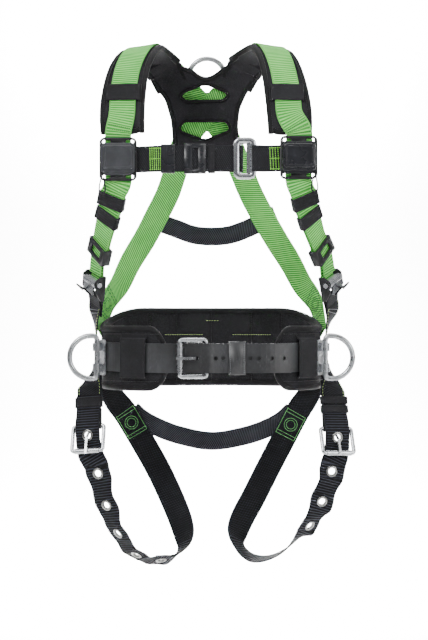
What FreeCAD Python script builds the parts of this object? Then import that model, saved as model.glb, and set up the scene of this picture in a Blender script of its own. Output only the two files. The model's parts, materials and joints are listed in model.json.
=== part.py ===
import FreeCAD, Part
import math
import os

os.makedirs("parts", exist_ok=True)

V = FreeCAD.Vector

# ---------------------------------------------------------------- driving sizes (mm)
WEB_W = 45.0            # harness webbing width
WEB_T = 2.2             # webbing thickness
GAP = 0.4               # running gap between neighbouring layers
LEATHER_W = 50.0        # leather belt width
LEATHER_T = 3.6         # leather thickness
WAIST_A = 190.0         # half width of the waist ring at the pad's middle
WAIST_B = 128.0         # half depth of the waist ring at the pad's middle
FLAT = 80.0             # half length of the straight front run of the belt
PAD_T = 14.0            # belt pad thickness
SHOULDER_T = 10.0       # shoulder pad thickness
YOKE_T = 8.0            # back yoke thickness
BACK_A = 207.0          # half width of the back surface the rear webs lie on
BACK_B = 140.0          # half depth of that surface
BAR_R = 3.5             # buckle bar radius
ROLLER_RUN = 0.08       # radial running clearance of rollers, prongs and hinges
BUCKLE_REACH = 45.0     # buckle bar to roller bar
RING_R = 4.7            # side and dorsal ring bar radius
SIDE_RING = 37.5        # centreline radius of a side ring's bow
DORSAL_RING = 33.5      # centreline radius of the dorsal ring's bow
HOLE_R = 3.5            # punched holes in the leather
GROMMET_R = 5.6         # eyelet bore radius
GROMMET_OUT = 9.4       # eyelet flange radius
HOLE_PITCH = 25.4       # belt hole pitch
CORD_R = 1.2            # radius of the short cords on the chest boxes
STEPS = 4               # sections between two route points

PLY = WEB_T + 0.5                       # centre spacing of two stacked webs
ON_PAD = PAD_T / 2 + GAP + LEATHER_T / 2        # leather centre above the pad's middle
LEATHER_PLY = LEATHER_T + 0.5                   # centre spacing of two stacked leathers
OVER_BELT = ON_PAD + LEATHER_T / 2 + 0.5 + WEB_T / 2    # web centre over one leather


# ---------------------------------------------------------------- small helpers
def unit(v):
    w = V(v)
    w.normalize()
    return w


def mix(a, b, f):
    return a * (1 - f) + b * f


def save(name, shape):
    if shape.Volume < 0:
        shape.reverse()
    shape.exportStep("parts/" + name + ".step")
    kind = "valid" if shape.isValid() else "INVALID"
    print(name, len(shape.Solids), round(shape.Volume), kind)


SHARED = {}


def share(name, shape):
    """Collect identical pieces that are kept in one file as separate solids."""
    SHARED.setdefault(name, []).extend(shape.Solids)


def fuse(shapes):
    out = shapes[0]
    for s in shapes[1:]:
        out = out.fuse(s)
    return out.removeSplitter()


class Frame:
    """Local frame: a runs along the strap, b across it, c outwards."""

    def __init__(self, origin, along, out):
        self.o = V(*origin)
        self.a = unit(V(*along))
        side = V(*out)
        self.c = unit(side - self.a * side.dot(self.a))
        self.b = self.c.cross(self.a)

    def at(self, a, b, c):
        return self.o + self.a * a + self.b * b + self.c * c

    def place(self, shape):
        m = FreeCAD.Matrix(self.a.x, self.b.x, self.c.x, self.o.x,
                           self.a.y, self.b.y, self.c.y, self.o.y,
                           self.a.z, self.b.z, self.c.z, self.o.z,
                           0, 0, 0, 1)
        moved = shape.copy()
        moved.Placement = FreeCAD.Placement(m)
        return moved


def box(x0, x1, y0, y1, z0, z1):
    return Part.makeBox(x1 - x0, y1 - y0, z1 - z0, V(x0, y0, z0))


def soft_box(x0, x1, y0, y1, z0, z1, r):
    """Box with its four upright edges rounded."""
    b = box(x0, x1, y0, y1, z0, z1)
    edges = []
    for e in b.Edges:
        d = e.Vertexes[1].Point - e.Vertexes[0].Point
        if abs(d.z) > 1e-6:
            edges.append(e)
    return b.makeFillet(r, edges)


def spline(points, steps=STEPS):
    """Catmull-Rom samples through points, each a tuple of vectors to blend together."""
    n = len(points)
    out = []
    for i in range(n - 1):
        for k in range(steps):
            f = k / steps
            row = []
            for j in range(len(points[0])):
                p1 = points[i][j]
                p2 = points[i + 1][j]
                p0 = points[i - 1][j] if i > 0 else p1 * 2 - p2
                p3 = points[i + 2][j] if i + 2 < n else p2 * 2 - p1
                q = p1 * 2 + (p2 - p0) * f
                q = q + (p0 * 2 - p1 * 5 + p2 * 4 - p3) * (f * f)
                q = q + (p1 * 3 - p0 - p2 * 3 + p3) * (f * f * f)
                row.append(q * 0.5)
            out.append(row)
    out.append(list(points[-1]))
    return out


def ribbon(route, width, thick, steps=STEPS, across=False):
    """Solid band along a route of (point, outward normal[, width]).

    With across=True the second entry is the direction across the band.
    """
    rows = [[V(*r[0]), V(*r[1]), V(r[2] if len(r) > 2 else width, 0, 0)] for r in route]
    rows = spline(rows, steps) if steps > 1 else rows
    wires = []
    for i in range(len(rows)):
        before = rows[max(i - 1, 0)][0]
        after = rows[min(i + 1, len(rows) - 1)][0]
        t = unit(after - before)
        h = rows[i][1]
        if across:
            w = unit(h - t * h.dot(t))
            n = t.cross(w)
        else:
            n = unit(h - t * h.dot(t))
            w = n.cross(t)
        p = rows[i][0]
        hw = rows[i][2].x / 2
        ht = thick / 2
        pts = [p + w * hw + n * ht, p - w * hw + n * ht, p - w * hw - n * ht, p + w * hw - n * ht]
        wires.append(Part.makePolygon(pts + [pts[0]]))
    return Part.makeLoft(wires, True, True)


def rod(points, r, bend, closed=False):
    """Round bar along straight runs joined by arcs of radius bend."""
    pts = [V(*p) for p in points]
    n = len(pts)
    edges = []
    corners = []
    for i in range(n):
        if not closed and i in (0, n - 1):
            corners.append((pts[i], pts[i], pts[i]))
            continue
        a = pts[i - 1] - pts[i]
        b = pts[(i + 1) % n] - pts[i]
        ang = a.getAngle(b)
        cut = bend / math.tan(ang / 2)
        s = pts[i] + unit(a) * cut
        e = pts[i] + unit(b) * cut
        mid_dir = unit(unit(a) + unit(b))
        centre = pts[i] + mid_dir * (bend / math.sin(ang / 2))
        corners.append((s, centre - mid_dir * bend, e))
    for i in range(n):
        s, m, e = corners[i]
        if (s - e).Length > 1e-6:
            edges.append(Part.Arc(s, m, e).toShape())
        if i < n - 1 or closed:
            nxt = corners[(i + 1) % n][0]
            if (nxt - e).Length > 1e-6:
                edges.append(Part.makeLine(e, nxt))
    wire = Part.Wire(edges)
    first = edges[0]
    start = first.valueAt(first.FirstParameter)
    way = first.tangentAt(first.FirstParameter)
    ring = Part.Wire([Part.makeCircle(r, start, way)])
    return wire.makePipeShell([ring], True, True)


def cord(name, pts, r):
    """Round cord along straight runs joined by arcs, each as open as its runs allow."""
    edges = []
    here = pts[0]
    radii = []
    for i in range(1, len(pts) - 1):
        a = pts[i - 1] - pts[i]
        b = pts[i + 1] - pts[i]
        ang = a.getAngle(b)
        bend = 0.45 * min(a.Length, b.Length) * math.tan(ang / 2)
        cut = bend / math.tan(ang / 2)
        mid_dir = unit(unit(a) + unit(b))
        s = pts[i] + unit(a) * cut
        e = pts[i] + unit(b) * cut
        m = pts[i] + mid_dir * (bend / math.sin(ang / 2) - bend)
        edges.append(Part.makeLine(here, s))
        edges.append(Part.Arc(s, m, e).toShape())
        here = e
        radii.append(round(bend, 1))
    edges.append(Part.makeLine(here, pts[-1]))
    print(name, "bend radii", radii)
    ring = Part.Wire([Part.makeCircle(r, pts[0], pts[1] - pts[0])])
    return Part.Wire(edges).makePipeShell([ring], True, True)


def tube(centre, axis, length, r_out, r_in):
    start = centre - unit(axis) * (length / 2)
    out = Part.makeCylinder(r_out, length, start, axis)
    if r_in <= 0:
        return out
    return out.cut(Part.makeCylinder(r_in, length + 2, start - unit(axis), axis))


# ---------------------------------------------------------------- the waist line
def waist_table():
    """Points round the waist with outward normals, by arc length from front centre."""
    rows = []
    count = 240
    for k in range(count + 1):
        x = -FLAT + 2 * FLAT * k / count
        rows.append((V(x, -WAIST_B, 0), V(0, -1, 0)))
    for k in range(1, count + 1):
        f = math.pi / 2 * k / count
        p = V(FLAT + (WAIST_A - FLAT) * math.sin(f), -WAIST_B * math.cos(f), 0)
        rows.append((p, unit(V((p.x - FLAT) / (WAIST_A - FLAT) ** 2, p.y / WAIST_B ** 2, 0))))
    for k in range(1, 2 * count + 1):
        f = math.pi * k / (2 * count)
        p = V(WAIST_A * math.cos(f), WAIST_B * math.sin(f), 0)
        rows.append((p, unit(V(p.x / WAIST_A ** 2, p.y / WAIST_B ** 2, 0))))
    for k in range(1, count + 1):
        f = math.pi / 2 * k / count
        p = V(-FLAT - (WAIST_A - FLAT) * math.cos(f), -WAIST_B * math.sin(f), 0)
        rows.append((p, unit(V((p.x + FLAT) / (WAIST_A - FLAT) ** 2, p.y / WAIST_B ** 2, 0))))
    length = [-FLAT]
    for i in range(1, len(rows)):
        length.append(length[-1] + (rows[i][0] - rows[i - 1][0]).Length)
    return rows, length


ROWS, RUN = waist_table()
GIRTH = RUN[-1] - RUN[0]


def waist(s, off, z):
    """Point and normal at arc length s (positive towards +X), off mm outside the pad's middle."""
    while s < RUN[0]:
        s += GIRTH
    while s > RUN[-1]:
        s -= GIRTH
    lo = 0
    hi = len(RUN) - 1
    while hi - lo > 1:
        mid = (lo + hi) // 2
        if RUN[mid] <= s:
            lo = mid
        else:
            hi = mid
    f = (s - RUN[lo]) / (RUN[hi] - RUN[lo])
    p = mix(ROWS[lo][0], ROWS[hi][0], f)
    n = unit(mix(ROWS[lo][1], ROWS[hi][1], f))
    q = p + n * off
    return V(q.x, q.y, z), n


def belt_band(stations, thick):
    """Upright band round the waist; stations are (arc, offset, low z, high z)."""
    wires = []
    for s, off, z0, z1 in stations:
        a = waist(s, off - thick / 2, z0)[0]
        b = waist(s, off + thick / 2, z0)[0]
        c = waist(s, off + thick / 2, z1)[0]
        d = waist(s, off - thick / 2, z1)[0]
        wires.append(Part.makePolygon([a, b, c, d, a]))
    return Part.makeLoft(wires, True, True)


def span(s0, s1, pitch):
    """Evenly spaced arc lengths from s0 to s1 on a fixed grid, so bands line up."""
    grid = [s0]
    k = math.floor(s0 / pitch) + 1
    while k * pitch < s1 - 1:
        if k * pitch > s0 + 1:
            grid.append(k * pitch)
        k += 1
    grid.append(s1)
    return grid


def arc_at(side, y):
    """Arc length where the waist line's front quarter reaches depth y on one side."""
    best = None
    for (p, n), s in zip(ROWS, RUN):
        if p.x * side > FLAT and (best is None or abs(p.y - y) < best[0]):
            best = (abs(p.y - y), s)
    return best[1]


def on_back(x, z, layer):
    """Point and normal on the back surface at (x, z), layer mm outwards."""
    y = BACK_B * math.sqrt(max(0.0, 1 - (x / BACK_A) ** 2))
    n = unit(V(x / BACK_A ** 2, y / BACK_B ** 2, 0))
    p = V(x, y, z) + n * layer
    return ((p.x, p.y, p.z), (n.x, n.y, n.z))


# ---------------------------------------------------------------- yoke and shoulder pads
# Pad routes run from the yoke's horn over the shoulder and down the chest:
# (point, outward normal, width).
PAD_ROUTE = {
    "l": [((-86, 98, 523), (-0.30, 0.60, 0.70), 70), ((-104, 62, 541), (-0.2, 0.25, 1), 66),
          ((-117, 20, 546), (-0.15, -0.05, 1), 65), ((-131, -28, 530), (-0.1, -0.6, 0.8), 68),
          ((-144, -62, 497), (-0.1, -0.85, 0.5), 73), ((-151, -88, 452), (-0.05, -1, 0.25), 77),
          ((-153, -100, 415), (0, -1, 0.15), 78), ((-152, -104, 384), (0, -1, 0.1), 76)],
    "r": [((60, 98, 525), (0.30, 0.60, 0.70), 70), ((82, 62, 542), (0.2, 0.25, 1), 66),
          ((99, 20, 547), (0.15, -0.05, 1), 65), ((112, -28, 531), (0.1, -0.6, 0.8), 68),
          ((123, -62, 498), (0.1, -0.85, 0.5), 73), ((131, -88, 452), (0.05, -1, 0.25), 77),
          ((135, -100, 415), (0, -1, 0.15), 78), ((136, -104, 384), (0, -1, 0.1), 76)],
}
YOKE_LEAN = 11.0        # degrees the yoke leans forward at its top
YOKE = Frame((-8, 130, 388), (1, 0, 0),
             (0, math.cos(math.radians(YOKE_LEAN)), math.sin(math.radians(YOKE_LEAN))))


def lift(route, off, start=0):
    """Route moved outwards along its own normals."""
    out = []
    for r in route[start:]:
        n = unit(V(*r[1]))
        out.append((tuple(V(*r[0]) + n * off), r[1]) + tuple(r[2:3]))
    return out


def polygon_plate(frame, outline, c0, c1):
    pts = [frame.at(x, y, c0) for x, y in outline]
    face = Part.Face(Part.makePolygon(pts + [pts[0]]))
    return face.extrude(frame.c * (c1 - c0))


def yoke():
    # across x, b downwards: heights are negative b
    outline = [(-62, 30), (-64, -12), (-67, -46), (-78, -84), (-104, -116), (-46, -146),
               (-28, -140), (-12, -128), (0, -125), (12, -130), (30, -143), (42, -150),
               (92, -120), (72, -92), (61, -66), (58, -40), (60, 30)]
    plate = polygon_plate(YOKE, outline, -YOKE_T / 2, YOKE_T / 2)
    slots = [[(-48, -93), (-8, -109), (2, -109), (38, -94), (30, -84), (-40, -83)],
             [(-43, -42), (36, -42), (42, -28), (0, -12), (-8, -12), (-50, -27)]]
    for s in slots:
        plate = plate.cut(polygon_plate(YOKE, s, -YOKE_T, YOKE_T))
    return plate


save("back_yoke_pad", yoke())
for side in "lr":
    save("shoulder_pad_" + side, ribbon(PAD_ROUTE[side], 70, SHOULDER_T))

# green webs: chest box, over the pad, across the yoke, down the back to the far hip
ON_SHOULDER = SHOULDER_T / 2 + 2.2 + WEB_T / 2
ON_YOKE = YOKE_T / 2 + 1.8 + WEB_T / 2
HIP_REAR = {
    "l": [((-186, 58, 98), (-0.84, 0.54, 0.05)), ((-195.2, 39, 66), (-0.93, 0.37, 0)),
          ((-199.6, 25, 39), (-0.97, 0.25, 0))],
    "r": [((187, 58, 98), (0.84, 0.54, 0.05)), ((195.2, 39, 66), (0.93, 0.37, 0)),
          ((199.6, 25, 39), (0.97, 0.25, 0))],
}
BACK_XZ = {
    "l": [(-66, 336), (-80, 296), (-101, 254), (-122, 212), (-146, 170), (-164, 130)],
    "r": [(56, 336), (73, 296), (95, 254), (118, 212), (143, 170), (163, 130)],
}


def shoulder_web(side):
    far = "r" if side == "l" else "l"
    sign = -1 if side == "l" else 1
    extra = PLY if side == "l" else 0
    front = lift(PAD_ROUTE[side], ON_SHOULDER)
    box_run = [(tuple(BOX[side].at(-17, 0, 0)), tuple(BOX[side].c)),
               (tuple(BOX[side].at(-46, 0, 0)), tuple(BOX[side].c))]
    rows = [(r[0], r[1]) for r in front]
    rows.reverse()
    rows = box_run + rows[1:-1]
    n = tuple(YOKE.c)
    rows.append((tuple(YOKE.at(sign * 62, -132, ON_YOKE + extra + 6)), (sign * 0.25, 0.9, 0.5)))
    rows.append((tuple(YOKE.at(sign * 40, -104, ON_YOKE + extra)), n))
    rows.append((tuple(YOKE.at(0, -60, ON_YOKE + extra)), n))
    rows.append((tuple(YOKE.at(-sign * 33, -20, ON_YOKE + extra)), n))
    rows.append((tuple(YOKE.at(-sign * 47, 8, ON_YOKE + extra + 2.4)), n))
    for i, (x, z) in enumerate(BACK_XZ[far]):
        rows.append(on_back(x, z, (12, 7, 4, 4, 4, 4)[i]))
    rows += HIP_REAR[far]
    return ribbon(rows, WEB_W, WEB_T)


# ---------------------------------------------------------------- chest boxes
BOX = {"l": Frame((-159, -114, 338), (0, 0, -1), (0, -1, 0)),
       "r": Frame((150, -114, 341), (0, 0, -1), (0, -1, 0))}
BOX_H = 74.0
BOX_W = 64.0
# the cord's loop, down from the ear and across it
CORD_LOOP = [(31.0, -0.8), (39.0, -3.5), (48.0, -5.2), (56.0, -5.2), (60.5, 0.0), (56.0, 5.2),
             (48.0, 5.2), (39.0, 3.5), (31.5, 0.8 + 1.8)]

for side in "lr":
    save("shoulder_web_" + side, shoulder_web(side))

for side in "lr":
    f = BOX[side]
    inner = 1 if side == "l" else -1
    z0 = WEB_T / 2 + GAP
    plate = soft_box(-BOX_H / 2, BOX_H / 2, -BOX_W / 2, BOX_W / 2, z0, z0 + 4, 9)
    for a in (-1, 1):
        for b in (-1, 1):
            ear = soft_box(a * 30 - 3, a * 30 + 3, b * 20 - 7, b * 20 + 7, z0 - 1, z0 + 6, 2.5)
            plate = plate.cut(ear)
    save("chest_box_base_" + side, f.place(plate))
    top = z0 + 4 + GAP
    cover = soft_box(-19, 16, -16, 16, top, top + 9, 5)
    rim = soft_box(-23, 20, -20, 20, top, top + 3.5, 6)
    share("chest_box_covers", f.place(cover.fuse(rim).removeSplitter()))
    # short cord loop hanging from the outer lower ear, in front of the base
    b0 = -inner * (BOX_W / 2 - 5)
    route = [f.at(a, b0 + b, top + CORD_R + 0.2) for a, b in CORD_LOOP]
    save("box_cord_" + side, cord("box_cord_" + side, route, CORD_R))

# yoke's locator plate and the dorsal ring
plate_c = ON_YOKE + PLY + WEB_T / 2 + GAP + 0.3
loc = YOKE.place(soft_box(-42, 42, -96, -24, plate_c, plate_c + 3, 12))
HINGE_C = plate_c + 3 + RING_R + 4
hinge_o = YOKE.at(0, -68, HINGE_C)
RING_AX = YOKE.a
lugs = []
for x in (-17, 17):
    post = YOKE.place(box(x - 6, x + 6, -74, -62, plate_c + 2, HINGE_C))
    lugs.append(post)
    lugs.append(tube(YOKE.at(x, -68, HINGE_C), RING_AX, 12, RING_R + 3.2, 0))
loc = fuse([loc] + lugs)
loc = loc.cut(tube(hinge_o, RING_AX, 60, RING_R + ROLLER_RUN, 0))
save("dorsal_plate", loc)


def d_ring(frame, half, straight, bow, r):
    """D-shaped ring: bar along b through the origin, bow towards a."""
    corner = 8.0
    q = corner * (1 - math.sqrt(0.5))
    a1 = V(0, -half + corner, 0)
    a2 = V(q, -half + q, 0)
    a3 = V(corner, -half, 0)
    b1 = V(straight, -half, 0)
    b2 = V(straight + bow, 0, 0)
    b3 = V(straight, half, 0)
    c1 = V(corner, half, 0)
    c2 = V(q, half - q, 0)
    c3 = V(0, half - corner, 0)
    edges = [Part.makeLine(c3, a1), Part.Arc(a1, a2, a3).toShape(), Part.makeLine(a3, b1),
             Part.Arc(b1, b2, b3).toShape(), Part.makeLine(b3, c1), Part.Arc(c1, c2, c3).toShape()]
    ring = Part.Wire([Part.makeCircle(r, c3, a1 - c3)])
    return frame.place(Part.Wire(edges).makePipeShell([ring], True, True))


# bow towards the top of the yoke
dorsal = Frame(tuple(hinge_o), tuple(YOKE.b * -1), tuple(YOKE.c))
save("dorsal_d_ring", d_ring(dorsal, DORSAL_RING, 56, DORSAL_RING, RING_R))

# bands that hold the green webs on the pads
for side in "lr":
    r = PAD_ROUTE[side][5]
    f = Frame(r[0], (0, -0.3, -1), r[1])
    z0 = ON_SHOULDER + WEB_T / 2 + GAP + 1.6
    foot = WEB_W / 2 + 5.5
    top = box(-12, 12, -foot - 4, foot + 4, z0, z0 + 1.8)
    feet = [box(-12, 12, b * foot - 4, b * foot + 4, SHOULDER_T / 2 + 2.4, z0 + 1) for b in (-1, 1)]
    share("pad_keepers", f.place(fuse([top] + feet)))

# lumbar web behind the two rear webs
lum = [(-118, 256), (-98, 246), (-63, 233), (-32, 222), (0, 219), (34, 222), (67, 234),
       (96, 248), (116, 258)]
save("lumbar_web", ribbon([on_back(x, z, 4 + PLY + 1.6) for x, z in lum], 34, WEB_T))

# ---------------------------------------------------------------- belt pad and leather belt
LEFT_END = -74.0        # front ends of the pad's wings, along the straight front
RIGHT_END = 107.0
PAD_LOW = -58.0         # lower edge of the belt pad
PAD_FRONT = 53.0        # upper edge at the front
PAD_BACK = 85.0         # upper edge at the back


def pad_heights(s):
    """Low and high edge of the belt pad at an arc length."""
    away = min(abs(s) / (GIRTH / 2), 1.0)   # 0 at front centre, 1 at the back
    f = min(1.0, max(0.0, (away - 0.45) / 0.3))
    f = f * f * (3 - 2 * f)
    return PAD_LOW, PAD_FRONT + (PAD_BACK - PAD_FRONT) * f


stations = []
for s in span(RIGHT_END, GIRTH + LEFT_END, 14.0):
    low, high = pad_heights(s if s <= GIRTH / 2 else s - GIRTH)
    tip = min(s - RIGHT_END, GIRTH + LEFT_END - s)
    if tip < 22:
        high -= (22 - tip) * 1.3
        low += (22 - tip) * 0.9
    stations.append((s, 0, low, high))
save("belt_pad", belt_band(stations, PAD_T))

D_LEFT = arc_at(-1, -58.0)
D_RIGHT = arc_at(1, -58.0)
D_LEFT_POS = D_LEFT if D_LEFT < 0 else D_LEFT - GIRTH
half_l = LEATHER_W / 2
back = [(s, ON_PAD, -half_l, half_l) for s in span(D_RIGHT + 0.5, D_LEFT_POS + GIRTH - 0.5, 14.0)]
save("belt_back_strap", belt_band(back, LEATHER_T))

# buckle on the front: pivot bar, roller bar, fold, tongue
PIVOT_X = -8.0
FOLD_R = BAR_R + 0.3 + 3.0
BELT = Frame((PIVOT_X, -WAIST_B - ON_PAD, -2), (-1, 0, 0), (0, -1, 0))
TONGUE_FOLD = FOLD_R + GAP + LEATHER_T / 2
ROLLER_R = 5.5
TONGUE_ROLL = -0.2
BELT_ROLL_C = TONGUE_ROLL + LEATHER_T / 2 + GAP + ROLLER_R


def strap_line(frame, pairs, width, thick, steps=STEPS):
    rows = [(tuple(frame.at(a, 0, c)), tuple(frame.b)) for a, c in pairs]
    return ribbon(rows, width, thick, steps, True)


def tongue_pairs(fold_c, roll_c, ply):
    return [(62, 0), (54, -0.2), (45, roll_c), (30, 1.9), (17, fold_c * 0.6), (6, fold_c * 0.97),
            (-4, fold_c * 0.97), (-14, fold_c * 0.72), (-26, ply), (-34, ply)]


belt_pairs = tongue_pairs(TONGUE_FOLD, TONGUE_ROLL, LEATHER_PLY)
tip_run = [(-60, LEATHER_PLY), (-86, LEATHER_PLY)]
front = strap_line(BELT, belt_pairs + tip_run, LEATHER_W, LEATHER_T)
arc_tail = [(s, ON_PAD + LEATHER_PLY, -half_l - 2, half_l - 2) for s in span(78, 132, 7.0)]
tail = belt_band(arc_tail, LEATHER_T)


def easing(s, s0, s1):
    """The belt drops 2 mm between its side plates (s0) and the straight front (s1)."""
    k = min(1.0, max(0.0, (s - s0) / (s1 - s0)))
    return (s, ON_PAD, -half_l - 2 * k, half_l - 2 * k)


rise = [easing(s, D_LEFT_POS, -86) for s in span(D_LEFT_POS + 0.5, -69.5, 7.0)]
tongue = fuse([front, tail, belt_band(rise, LEATHER_T)])
hole = []
for x in (PIVOT_X - 16.7, 8, 8 + HOLE_PITCH / 2, 67, 67 + 14, 100, 119):
    if x < 78:
        hole.append(Part.makeCylinder(HOLE_R, 60, V(x, -175, -2), V(0, 1, 0)))
    else:
        p, n = waist(x, ON_PAD + LEATHER_PLY - 10, -2)
        hole.append(Part.makeCylinder(HOLE_R, 20, p, n))
for h in hole:
    tongue = tongue.cut(h)
save("belt_tongue_strap", tongue)


def with_slot(shape, frame, slot, reach):
    return shape.cut(frame.place(box(-BAR_R - 3.3, reach, -slot / 2, slot / 2, -20, 20)))


flat_run = strap_line(BELT, [(-FOLD_R + 1.5, 0), (-30, 0), (-86, 0)], LEATHER_W, LEATHER_T, 2)
curve = [easing(s, D_RIGHT, 86) for s in span(77.5, D_RIGHT - 0.5, 7.0)]
loop = tube(BELT.at(0, 0, 0), BELT.b, LEATHER_W, FOLD_R, BAR_R + 0.3)
strap = fuse([flat_run, belt_band(curve, LEATHER_T), loop])
strap = with_slot(strap, BELT, 8.0, FOLD_R + 3)
save("belt_buckle_strap", strap)


def buckle(prefix, suffix, frame, half_w, roll_c, roller_r, prong_w, over_c, prong_t):
    """Frame, roller and prong of a roller buckle."""
    b = half_w
    ring = rod([tuple(frame.at(0, -b, 0)), tuple(frame.at(BUCKLE_REACH, -b, roll_c)),
                tuple(frame.at(BUCKLE_REACH, b, roll_c)), tuple(frame.at(0, b, 0))],
               BAR_R, 4.5, True)
    save(prefix + "_frame" + suffix, ring)
    roller = tube(frame.at(BUCKLE_REACH, 0, roll_c), frame.b, 2 * half_w - 12, roller_r,
                  BAR_R + ROLLER_RUN)
    save(prefix + "_roller" + suffix, roller)
    t = prong_t / 2
    top = roll_c + roller_r + 0.5 + t
    rise = (top - over_c) / (BUCKLE_REACH - 21.5)
    low = [(0, 0), (12.5, 0.6), (21.5, over_c), (BUCKLE_REACH, top), (BUCKLE_REACH + 6, top + 6 * rise)]
    left = []
    right = []
    for i in range(len(low)):
        p = V(low[i][0], 0, low[i][1])
        q0 = V(low[max(i - 1, 0)][0], 0, low[max(i - 1, 0)][1])
        q1 = V(low[min(i + 1, 4)][0], 0, low[min(i + 1, 4)][1])
        d = unit(q1 - q0)
        nrm = V(-d.z, 0, d.x)
        left.append(p + nrm * t)
        right.append(p - nrm * t)
    right.reverse()
    prof = left + right
    pts = [frame.at(p.x, -prong_w / 2, p.z) for p in prof]
    blade = Part.Face(Part.makePolygon(pts + [pts[0]])).extrude(frame.b * prong_w)
    eye = tube(frame.at(0, 0, 0), frame.b, prong_w + 1.5, BAR_R + 2.4, 0)
    prong = blade.fuse(eye).removeSplitter()
    prong = prong.cut(tube(frame.at(0, 0, 0), frame.b, 30, BAR_R + ROLLER_RUN, 0))
    save(prefix + "_prong" + suffix, prong)


buckle("belt_buckle", "", BELT, 31.0, BELT_ROLL_C, ROLLER_R, 4.4, 11.5, 2.4)

# leather keeper round both straps
k0 = -LEATHER_T / 2 - 0.5
k1 = LEATHER_PLY + LEATHER_T / 2 + 0.5
outer = box(-67, -38, -28.3, 28.3, k0 - 2.4, k1 + 2.4)
inner = box(-70, -35, -25.8, 25.8, k0, k1)
save("belt_keeper", BELT.place(outer.cut(inner)))

# webbing loops that hold the leather on the pad's wings
for s_mid in (-130.0, 169.0):
    s_list = [s_mid - 21 + 6 * k for k in range(8)]
    top_c = ON_PAD + LEATHER_T / 2 + 0.8 + 1.0
    z_up = 35.0
    over = belt_band([(s, top_c, -z_up, z_up) for s in s_list], 2.0)
    feet_c = (PAD_T / 2 + 0.4 + top_c) / 2
    feet_t = top_c - PAD_T / 2 - 0.4
    up = belt_band([(s, feet_c, 30.5, z_up) for s in s_list], feet_t)
    dn = belt_band([(s, feet_c, -z_up, -30.5) for s in s_list], feet_t)
    share("belt_loops", fuse([over, up, dn]))

# ---------------------------------------------------------------- side rings
SIDE_D = {}
for side, sign, s0 in (("l", -1, D_LEFT_POS), ("r", 1, D_RIGHT)):
    p, n = waist(s0, ON_PAD + LEATHER_T / 2 + GAP, -2)
    f = Frame(tuple(p), tuple(V(0, 0, 1)), tuple(n))
    plate = soft_box(-31, 31, -15, 15, 0, 2.5, 5)
    c_bar = 2.5 + RING_R + 4
    parts = [plate]
    for z in (-18, 18):
        parts.append(box(z - 7, z + 7, -5, 5, 2, c_bar))
        parts.append(Part.makeCylinder(RING_R + 2.8, 14, V(z - 7, 0, c_bar), V(1, 0, 0)))
    body = fuse(parts)
    body = body.cut(Part.makeCylinder(RING_R + ROLLER_RUN, 80, V(-40, 0, c_bar), V(1, 0, 0)))
    rivets = []
    for z in (-24, 24):
        for y in (-10.5, 10.5):
            rivets.append(Part.makeCylinder(2.5, 1.6, V(z, y, 2.5 + 0.3), V(0, 0, 1)))
    share("side_d_plates", f.place(body))
    share("side_rivets", f.place(Part.Compound(rivets)))
    bar = f.at(0, 0, c_bar)
    SIDE_D[side] = bar
    g = Frame(tuple(bar), (sign, 0, 0), (0, -1, 0))
    save("side_d_ring_" + side, d_ring(g, SIDE_RING, 10, SIDE_RING, RING_R))

# ---------------------------------------------------------------- chest strap
Z_CHEST = 339.0
rows_l = [((-168, -110.9, 338), (0, 0, 1)), ((-140, -110.9, 338), (0, 0, 1)),
          ((-124, -111.4, 338), (0, 0, 1)), ((-90, -115.5, 339), (0, 0, 1)),
          ((-46, -117.3, 339), (0, 0, 1)), ((14, -117.3, 339), (0, 0, 1)),
          ((49, -117.3, 339), (0, 0, 1)), ((52.6, -116.2, 339), (0, 0, 1)),
          ((53.9, -113.5, 339), (0, 0, 1)), ((52.6, -110.8, 339), (0, 0, 1)),
          ((49, -109.7, 339), (0, 0, 1)), ((24, -112.5, 339), (0, 0, 1)),
          ((12, -113.9, 339), (0, 0, 1)), ((-36, -114.2, 339), (0, 0, 1))]
save("chest_web_l", ribbon(rows_l, WEB_W, WEB_T, 3, True))
inner_half = WEB_W / 2 + 5
male = rod([(50, -113.5, Z_CHEST - inner_half), (70, -113.5, Z_CHEST - inner_half),
            (70, -113.5, Z_CHEST + inner_half), (50, -113.5, Z_CHEST + inner_half)], 2.3, 3.2, True)
save("chest_inner_frame", male)
slot_half = WEB_W / 2 + 1
plate = soft_box(38, 77.6, -slot_half - 12.5, slot_half + 12.5, 0, 4, 7)
window = soft_box(49, 60.5, -slot_half, slot_half, -1, 5, 2)
slot = soft_box(68.2, 72.7, -slot_half, slot_half, -1, 5, 1.5)
chest = Frame((0, -120.3, Z_CHEST), (1, 0, 0), (0, -1, 0))
save("chest_outer_frame", chest.place(plate.cut(window).cut(slot)))
c_x = 75.1
c_y = -122.3
rows_r = [((161, -110.9, 341), (0, 0, 1)), ((134, -110.9, 341), (0, 0, 1)),
          ((116, -112.8, 340), (0, 0, 1)), ((96, -118.5, 339), (0, 0, 1)),
          ((80, -126.2, 339), (0, 0, 1)), ((c_x, -126.9, 339), (0, 0, 1)),
          ((c_x - 3.6, -125.2, 339), (0, 0, 1)), ((c_x - 4.7, -122.3, 339), (0, 0, 1)),
          ((c_x - 3.6, -119.2, 339), (0, 0, 1)), ((c_x, -117.7, 339), (0, 0, 1)),
          ((80, -117.4, 339), (0, 0, 1)), ((92, -115.2, 339), (0, 0, 1)),
          ((108, -111.4, 340), (0, 0, 1))]
save("chest_web_r", ribbon(rows_r, WEB_W, WEB_T, 3, True))


def band(frame, a0, a1, half_b, c0, c1, wall, window=None):
    """Closed band round webs between heights c0 and c1, with an optional front window."""
    out = box(a0, a1, -half_b - wall, half_b + wall, c0 - wall, c1 + wall)
    out = out.cut(box(a0 - 1, a1 + 1, -half_b, half_b, c0, c1))
    if window:
        out = out.cut(soft_box(window[0], window[1], window[2], window[3], c1 - 1, c1 + 9, 1.5))
    return frame.place(out)


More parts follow.
